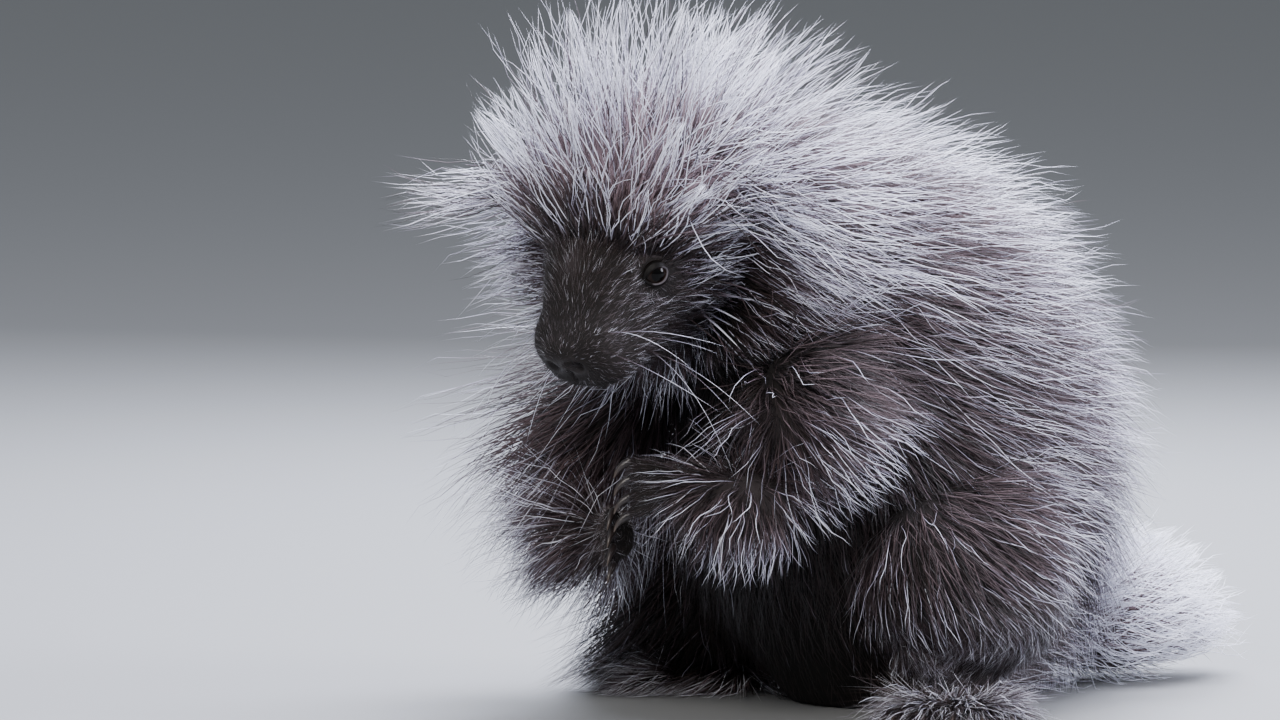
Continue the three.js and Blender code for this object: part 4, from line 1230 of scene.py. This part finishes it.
# Lids: a ring that follows the almond opening, an ellipse with a longer corner at either end. From
# the wet margin it rises over a rounded rim, spreads out over the ball and sinks under the skin,
# then comes back beneath. "out" runs from the margin to the outer edge, "lift" is over the ball.
def makeLids(which, material):
    turned = np.linspace(0, 2 * math.pi, 72, endpoint=False)
    phi = turned + math.radians(eyeShape["tilt"])
    halfLong, halfShort = eyeShape["opening"]
    hooded = np.where(np.sin(turned) > 0, 0.78, 1.0) * halfShort
    opening = 1 / np.sqrt((np.cos(turned) / halfLong) ** 2 + (np.sin(turned) / hooded) ** 2)
    for corner, wide, more in ((0, 0.28, eyeShape["corner"]), (math.pi, 0.3, eyeShape["backCorner"])):
        opening = opening + more * np.exp(-((np.angle(np.exp(1j * (turned - corner))) / wide) ** 2))
    out = column([0, 0.02, 0.07, 0.14, 0.24, 0.36, 0.5, 0.66, 0.84, 1.0, 1.0, 0.6, 0.25, 0.0])
    lift = column([0.1, 0.55, 0.9, 0.98, 0.86, 0.92, 1.15, 1.0, 0.3, -1.2, -1.8, -1.6, -1.2, -0.6])
    theta = np.radians(mix(opening, eyeShape["outerEdge"], out))
    radius = animal["eyeRadius"] + lift * np.where(lift > 0, eyeShape["fold"], 1)
    radius = radius + 0.12 * np.sin(phi * 3 + 0.6) * (out > 0.2) * (lift > 0)
    grid = onEye(which, radius, theta, phi)
    lids = gridPiece(f"eyelids_{which}", grid, material, loop=True)
    at = meshArrays(lids.data)[0]
    centre, _, front, high = eyeDirections(legSides[which])
    distance = np.linalg.norm(at[:, None] - (grid[1] + grid[2]) / 2, axis=-1).min(1)
    lower = ramp(1.2, -1.0, dot(at - centre, high) + 0.35 * dot(at - centre, front))
    rim = np.exp(-((distance / 0.36) ** 2)) * mix(0.1, 1.0, lower)
    setPointValues(lids.data, margin=rim + 0.3 * lower * np.exp(-((distance / 2.6) ** 2)))
    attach(lids, "root")


eyeball = newMaterial("eyeball, wet cornea over a dark iris", cornea)
eyelid = newMaterial("eyelid, thin moist skin", lidSkin)
for which in legSides:
    makeEye(which, eyeball)
    makeLids(which, eyelid)
print("eyes made")


# Claws

# A claw: a cone bent along a curve with three control points, taller than it is wide, and worn to
# a blunt point. Its radius falls as 1 - 0.9 t^1.3.
def clawSurface(start, towards, curl):
    out = unit(np.asarray(towards, float))
    down = unit(np.asarray(curl, float))
    middle = start + out * clawLength * 0.55
    tip = middle + out * clawLength * 0.25 + down * clawLength * 0.36
    tip[2] = max(tip[2], lowest["clawTip"])
    t = np.append(np.linspace(0, 1, 14), 1.0)
    tangent = unit(column(2 * (1 - t)) * (middle - start) + column(2 * t) * (tip - middle))
    across = unit(np.cross(out, down))
    over = unit(np.cross(across, tangent))
    line = bent(start, middle, tip, column(t))
    line = np.concatenate([[line[0] - out * 0.6], line])
    radius = np.append(0, clawRadius * (1 - 0.9 * t**1.3))
    radius[-1] = 0
    over = np.concatenate([over[:1], over])
    angle = np.linspace(0, 2 * math.pi, 14, endpoint=False)
    grid = ringsRound(line, across, over, radius * 0.78, radius, np.cos(angle), np.sin(angle))
    grid[..., 2] = np.maximum(grid[..., 2], lowest["claw"])
    return grid


clawHorn = newMaterial("claw, ridged horn", horn)
for name, (start, towards, curl) in claws.items():
    piece = gridPiece(f"horn_{name}", clawSurface(start, towards, curl), clawHorn)
    fromRoot = np.linalg.norm(meshArrays(piece.data)[0] - start, axis=-1)
    setPointValues(piece.data, along=np.clip(fromRoot / clawLength, 0, 1))
    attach(piece, "root")
    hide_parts(name)
print("claws made")


# The coat

# A kind of hair: "segments" along it, "scale" of the field's length, "wander", "wave" and "kink"
# of its heading, width in mm, "bluntness" of its taper, "spread" of its frost, and in "gather" the
# size in mm of the patches that draw together and how strongly
guard = {"segments": 7, "scale": 1.0, "wander": 0.12, "wave": 0.2, "kink": 0.15, "width": 0.34,
         "flatness": 0.85, "bluntness": 2.6, "spread": 0.3, "gather": (8.0, 0.35)}
maneHair = {**guard, "kink": 0.2, "width": 0.5, "spread": 0.5, "gather": (12.0, 0.8), "uneven": 0.24}
neckHair = {**guard, "width": 0.38, "spread": 0.42}
tailHair = {**guard, "wave": 0.6, "width": 0.55, "gather": (8.0, 0.85), "frostShift": 1.1}
wool = {"segments": 2, "scale": 0.74, "wander": 0.26, "wave": 0.2, "width": 0.8, "flatness": 0.5,
        "bluntness": 1.6, "spread": 0.12, "gather": (6.0, 0.4), "liftShift": -4}
fineWool = {**wool, "segments": 1, "scale": 0.52, "longest": 66, "wander": 0.3, "width": 0.62,
            "liftShift": -8}
maneWool = {**wool, "longest": 50, "frostShift": -0.36}
maneFineWool = {**fineWool, "longest": 56, "frostShift": -0.36}
shortFur = {"segments": 1, "scale": 1.0, "wander": 0.38, "wave": 0.15, "loose": 2.2, "width": 0.46,
            "flatness": 0.6, "bluntness": 1.8, "spread": 0.55, "gather": (2.8, 0.4)}

headShare, neckShare, torsoShare, tailShare = (
    shares[zoneNames.index(zone)] for zone in ("head", "neck", "torso", "tail")
)
limbShare = 1 - headShare - neckShare - torsoShare
upperShare = headShare + neckShare
guardWeight, woolWeight, shortWeight = fields[:, guardAt], fields[:, woolAt], fields[:, shortAt]
coatPieces = [
    ("guard_hair_mane", maneHair, 3600, guardHair, "dark_fur", guardWeight * headShare),
    ("guard_hair_neck", neckHair, 3000, guardHair, "grizzled_fur", guardWeight * neckShare),
    ("guard_hair_body_1", guard, 4900, guardHair, "grizzled_fur", guardWeight * torsoShare),
    ("guard_hair_body_2", guard, 4900, guardHair, "grizzled_fur", guardWeight * torsoShare),
    ("guard_hair_limbs", guard, 4100, guardHair, "dark_fur", guardWeight * (limbShare - tailShare)),
    ("guard_hair_tail", tailHair, 1300, guardHair, "pale_fur", guardWeight * tailShare),
    ("underfur_head_neck", maneWool, 8000, woolHair, "dark_fur", woolWeight * upperShare),
    ("underfur_body", wool, 11000, woolHair, "grizzled_fur", woolWeight * torsoShare),
    ("underfur_limbs_tail", wool, 7000, woolHair, "dark_fur", woolWeight * limbShare),
    ("down_head_neck", maneFineWool, 16000, woolHair, "dark_fur", woolWeight * upperShare),
    ("down_body", fineWool, 25000, woolHair, "grizzled_fur", woolWeight * torsoShare),
    ("down_limbs_tail", fineWool, 13000, woolHair, "dark_fur", woolWeight * limbShare),
    ("short_fur_face_feet", shortFur, 34000, shortHair, "dark_fur", shortWeight),
]
for name, kind, count, material, slot, weight in coatPieces:
    growCoat(name, {**kind, "count": count}, material, weight)


# Stiff hairs of the head, each a curve from its root over a bend to its tip: pale young quills on
# the cheeks that point back and fan downwards, and whiskers from the sides of the muzzle. Over the
# count their roots run between two places and their headings between two directions, all given
# sideways, forwards and upwards on the head.

stiffHairs = {
    "quills": {
        "count": 8, "width": 1.0, "bluntness": 3.0, "length": (22, 34), "bow": 0.7, "waver": 0.2,
        "droop": 0.45,
        "from": (24, -14, -6), "to": (15, -16, -30), "frost": (0.55, 0.8),
        "heading": (0.45, -0.8, -0.02), "lastHeading": (0.45, -0.4, -0.75),
    },
    "whiskers": {
        "count": 7, "width": 0.27, "bluntness": 3.0, "length": (30, 56), "bow": 0.9, "waver": 0.3,
        "droop": 0.4,
        "from": (18, 34, 0), "to": (20, 12, -20), "frost": (0.4, 1.0),
        "heading": (0.85, -0.25, 0.1), "lastHeading": (0.85, 0.1, -0.4),
    },
}


def growStiff(name, look):
    lines, sides, frost = [], [], []
    for side in (1, -1):
        for i in range(look["count"]):
            q = (i + 0.5) / look["count"]
            middle = mix(np.array(look["from"]), np.array(look["to"]), q)
            left, forward, up = middle + random.normal(0, 2.4, 3)
            target = onHead(side * left, forward, up)
            nearest = np.argmin(np.linalg.norm(points - target, axis=-1))
            root, out = points[nearest], normals[nearest]
            a, b, c = mix(np.array(look["heading"]), np.array(look["lastHeading"]), q)
            towards = unit(side * a * leftward + b * facing + c * crown + random.normal(0, look["waver"], 3))
            length = random.uniform(*look["length"])
            bend = root + unit(towards + out * look["bow"]) * length * 0.5
            tip = root + towards * length - np.array([0, 0, look["droop"]]) * length
            lines.append(bent(root - out * 0.8, bend, tip, column(np.linspace(0, 1, 9))))
            sides.append(unit(np.cross(towards, out)))
            frost.append(random.uniform(*look["frost"]))
    lines, sides, frost = np.array(lines), np.array(sides), np.array(frost)
    width = look["width"] * random.uniform(0.7, 1.1, len(lines))
    mesh = strandMesh(name, lines, sides, width, width, look["bluntness"], frost, unrolled(lines[:, 0]))
    piece = addObject(name, mesh, guardHair)
    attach(piece, "root")


growStiff("cheek_quills", stiffHairs["quills"])
growStiff("whiskers", stiffHairs["whiskers"])


# Floor, light and camera

studioFloor = {"flat": 1.2, "radius": 5.0, "rise": 0.5, "colour": "#828383"}


# Studio floor: matt grey paint with a faint grain, which takes a soft shadow and no highlight
def paint(tree):
    relief = bump(tree, noise(tree, 300.0, 2.0), 0.05, 0.0005)
    return {"Base Color": toLinear(studioFloor["colour"]), "Roughness": 0.85, "Normal": relief}


# Floor: flat under and round the animal, then curving up like a dish so that no edge shows. Its
# height is rise * ((r - flat) / (radius - flat))^2.
def makeFloor():
    rings, sides = 40, 96
    r = np.linspace(0.02, studioFloor["radius"], rings)
    angle = np.linspace(0, 2 * math.pi, sides, endpoint=False)
    climb = np.maximum(r - studioFloor["flat"], 0) / (studioFloor["radius"] - studioFloor["flat"])
    height = studioFloor["rise"] * climb**2
    grid = directions(column(r) * np.cos(angle), column(r) * np.sin(angle), column(height)) / metres
    middle = np.arange(sides)[None]
    mesh = meshFrom("studio_floor", grid, [gridFaces(rings, sides)[:, ::-1], middle])
    addObject("studio_floor", mesh, newMaterial("painted studio floor, matt", paint))


studio = {
    "overhead": {"at": (0.1, 0.2, 1.7), "size": 1.4, "power": 120, "colour": "#eceeff"},
    "key": {"at": (0.9, -1.5, 1.2), "size": 0.8, "power": 28, "colour": "#fffaf5"},
    "rim": {"at": (-1.1, 1.1, 1.1), "size": 0.9, "power": 72, "colour": "#e8edff"},
    "side": {"at": (1.5, 1.2, 0.9), "size": 0.9, "power": 58, "colour": "#eef0ff"},
}


# Puts a lamp or camera at a place, its right side and back turned as given
def hang(name, data, at, right, back):
    thing = bpy.data.objects.new(name, data)
    axes = np.stack([right, np.cross(back, right), back], 1)
    thing.matrix_world = Matrix([[*row, p] for row, p in zip(axes, at)] + [[0, 0, 0, 1]])
    scene.collection.objects.link(thing)
    return thing


def addLight(name, spec):
    light = bpy.data.lights.new(name, "AREA")
    light.shape = "DISK"
    light.size = spec["size"]
    light.energy = spec["power"]
    light.color = toLinear(spec["colour"])[:3]
    at = np.array(spec["at"])
    back = unit(at - np.array([0, -0.03, 0.15]))
    hang(name, light, at, unit(np.cross([0, 0, 1.0], back) + np.array([1e-6, 0, 0])), back)


studioAir = {"colour": "#b9bfc6", "strength": 0.75}


def addWorld():
    world = bpy.data.worlds.new("studio air")
    world.use_nodes = True
    tree = world.node_tree
    tree.nodes.clear()
    glow = {"Color": toLinear(studioAir["colour"]), "Strength": studioAir["strength"]}
    light = addNode(tree, "ShaderNodeBackground", glow)
    addNode(tree, "ShaderNodeOutputWorld", {"Surface": light.outputs["Background"]})
    scene.world = world


# The photograph's camera: round the animal by azimuth, and in metres its distance, the width it
# sees there, and how far right and up it aims from the frame's origin
photoView = {"azimuth": 50.0, "elevation": 3.0, "distance": 2.5, "width": 0.512, "aim": (-0.0882, 0.1367)}


def addCamera():
    a, e = math.radians(photoView["azimuth"]), math.radians(photoView["elevation"])
    back = np.array([math.sin(a) * math.cos(e), -math.cos(a) * math.cos(e), math.sin(e)])
    right = np.array([math.cos(a), math.sin(a), 0])
    aimRight, aimUp = photoView["aim"]
    at = right * aimRight + np.cross(back, right) * aimUp + back * photoView["distance"]
    data = bpy.data.cameras.new("photo view")
    data.sensor_width = 36
    data.lens = data.sensor_width * photoView["distance"] / photoView["width"]
    data.clip_start = 0.05
    scene.camera = hang("photo view", data, at, right, back)


makeFloor()
for name, spec in studio.items():
    addLight(name, spec)
addWorld()
addCamera()

print("cad box", [list(v) for v in cadBox])
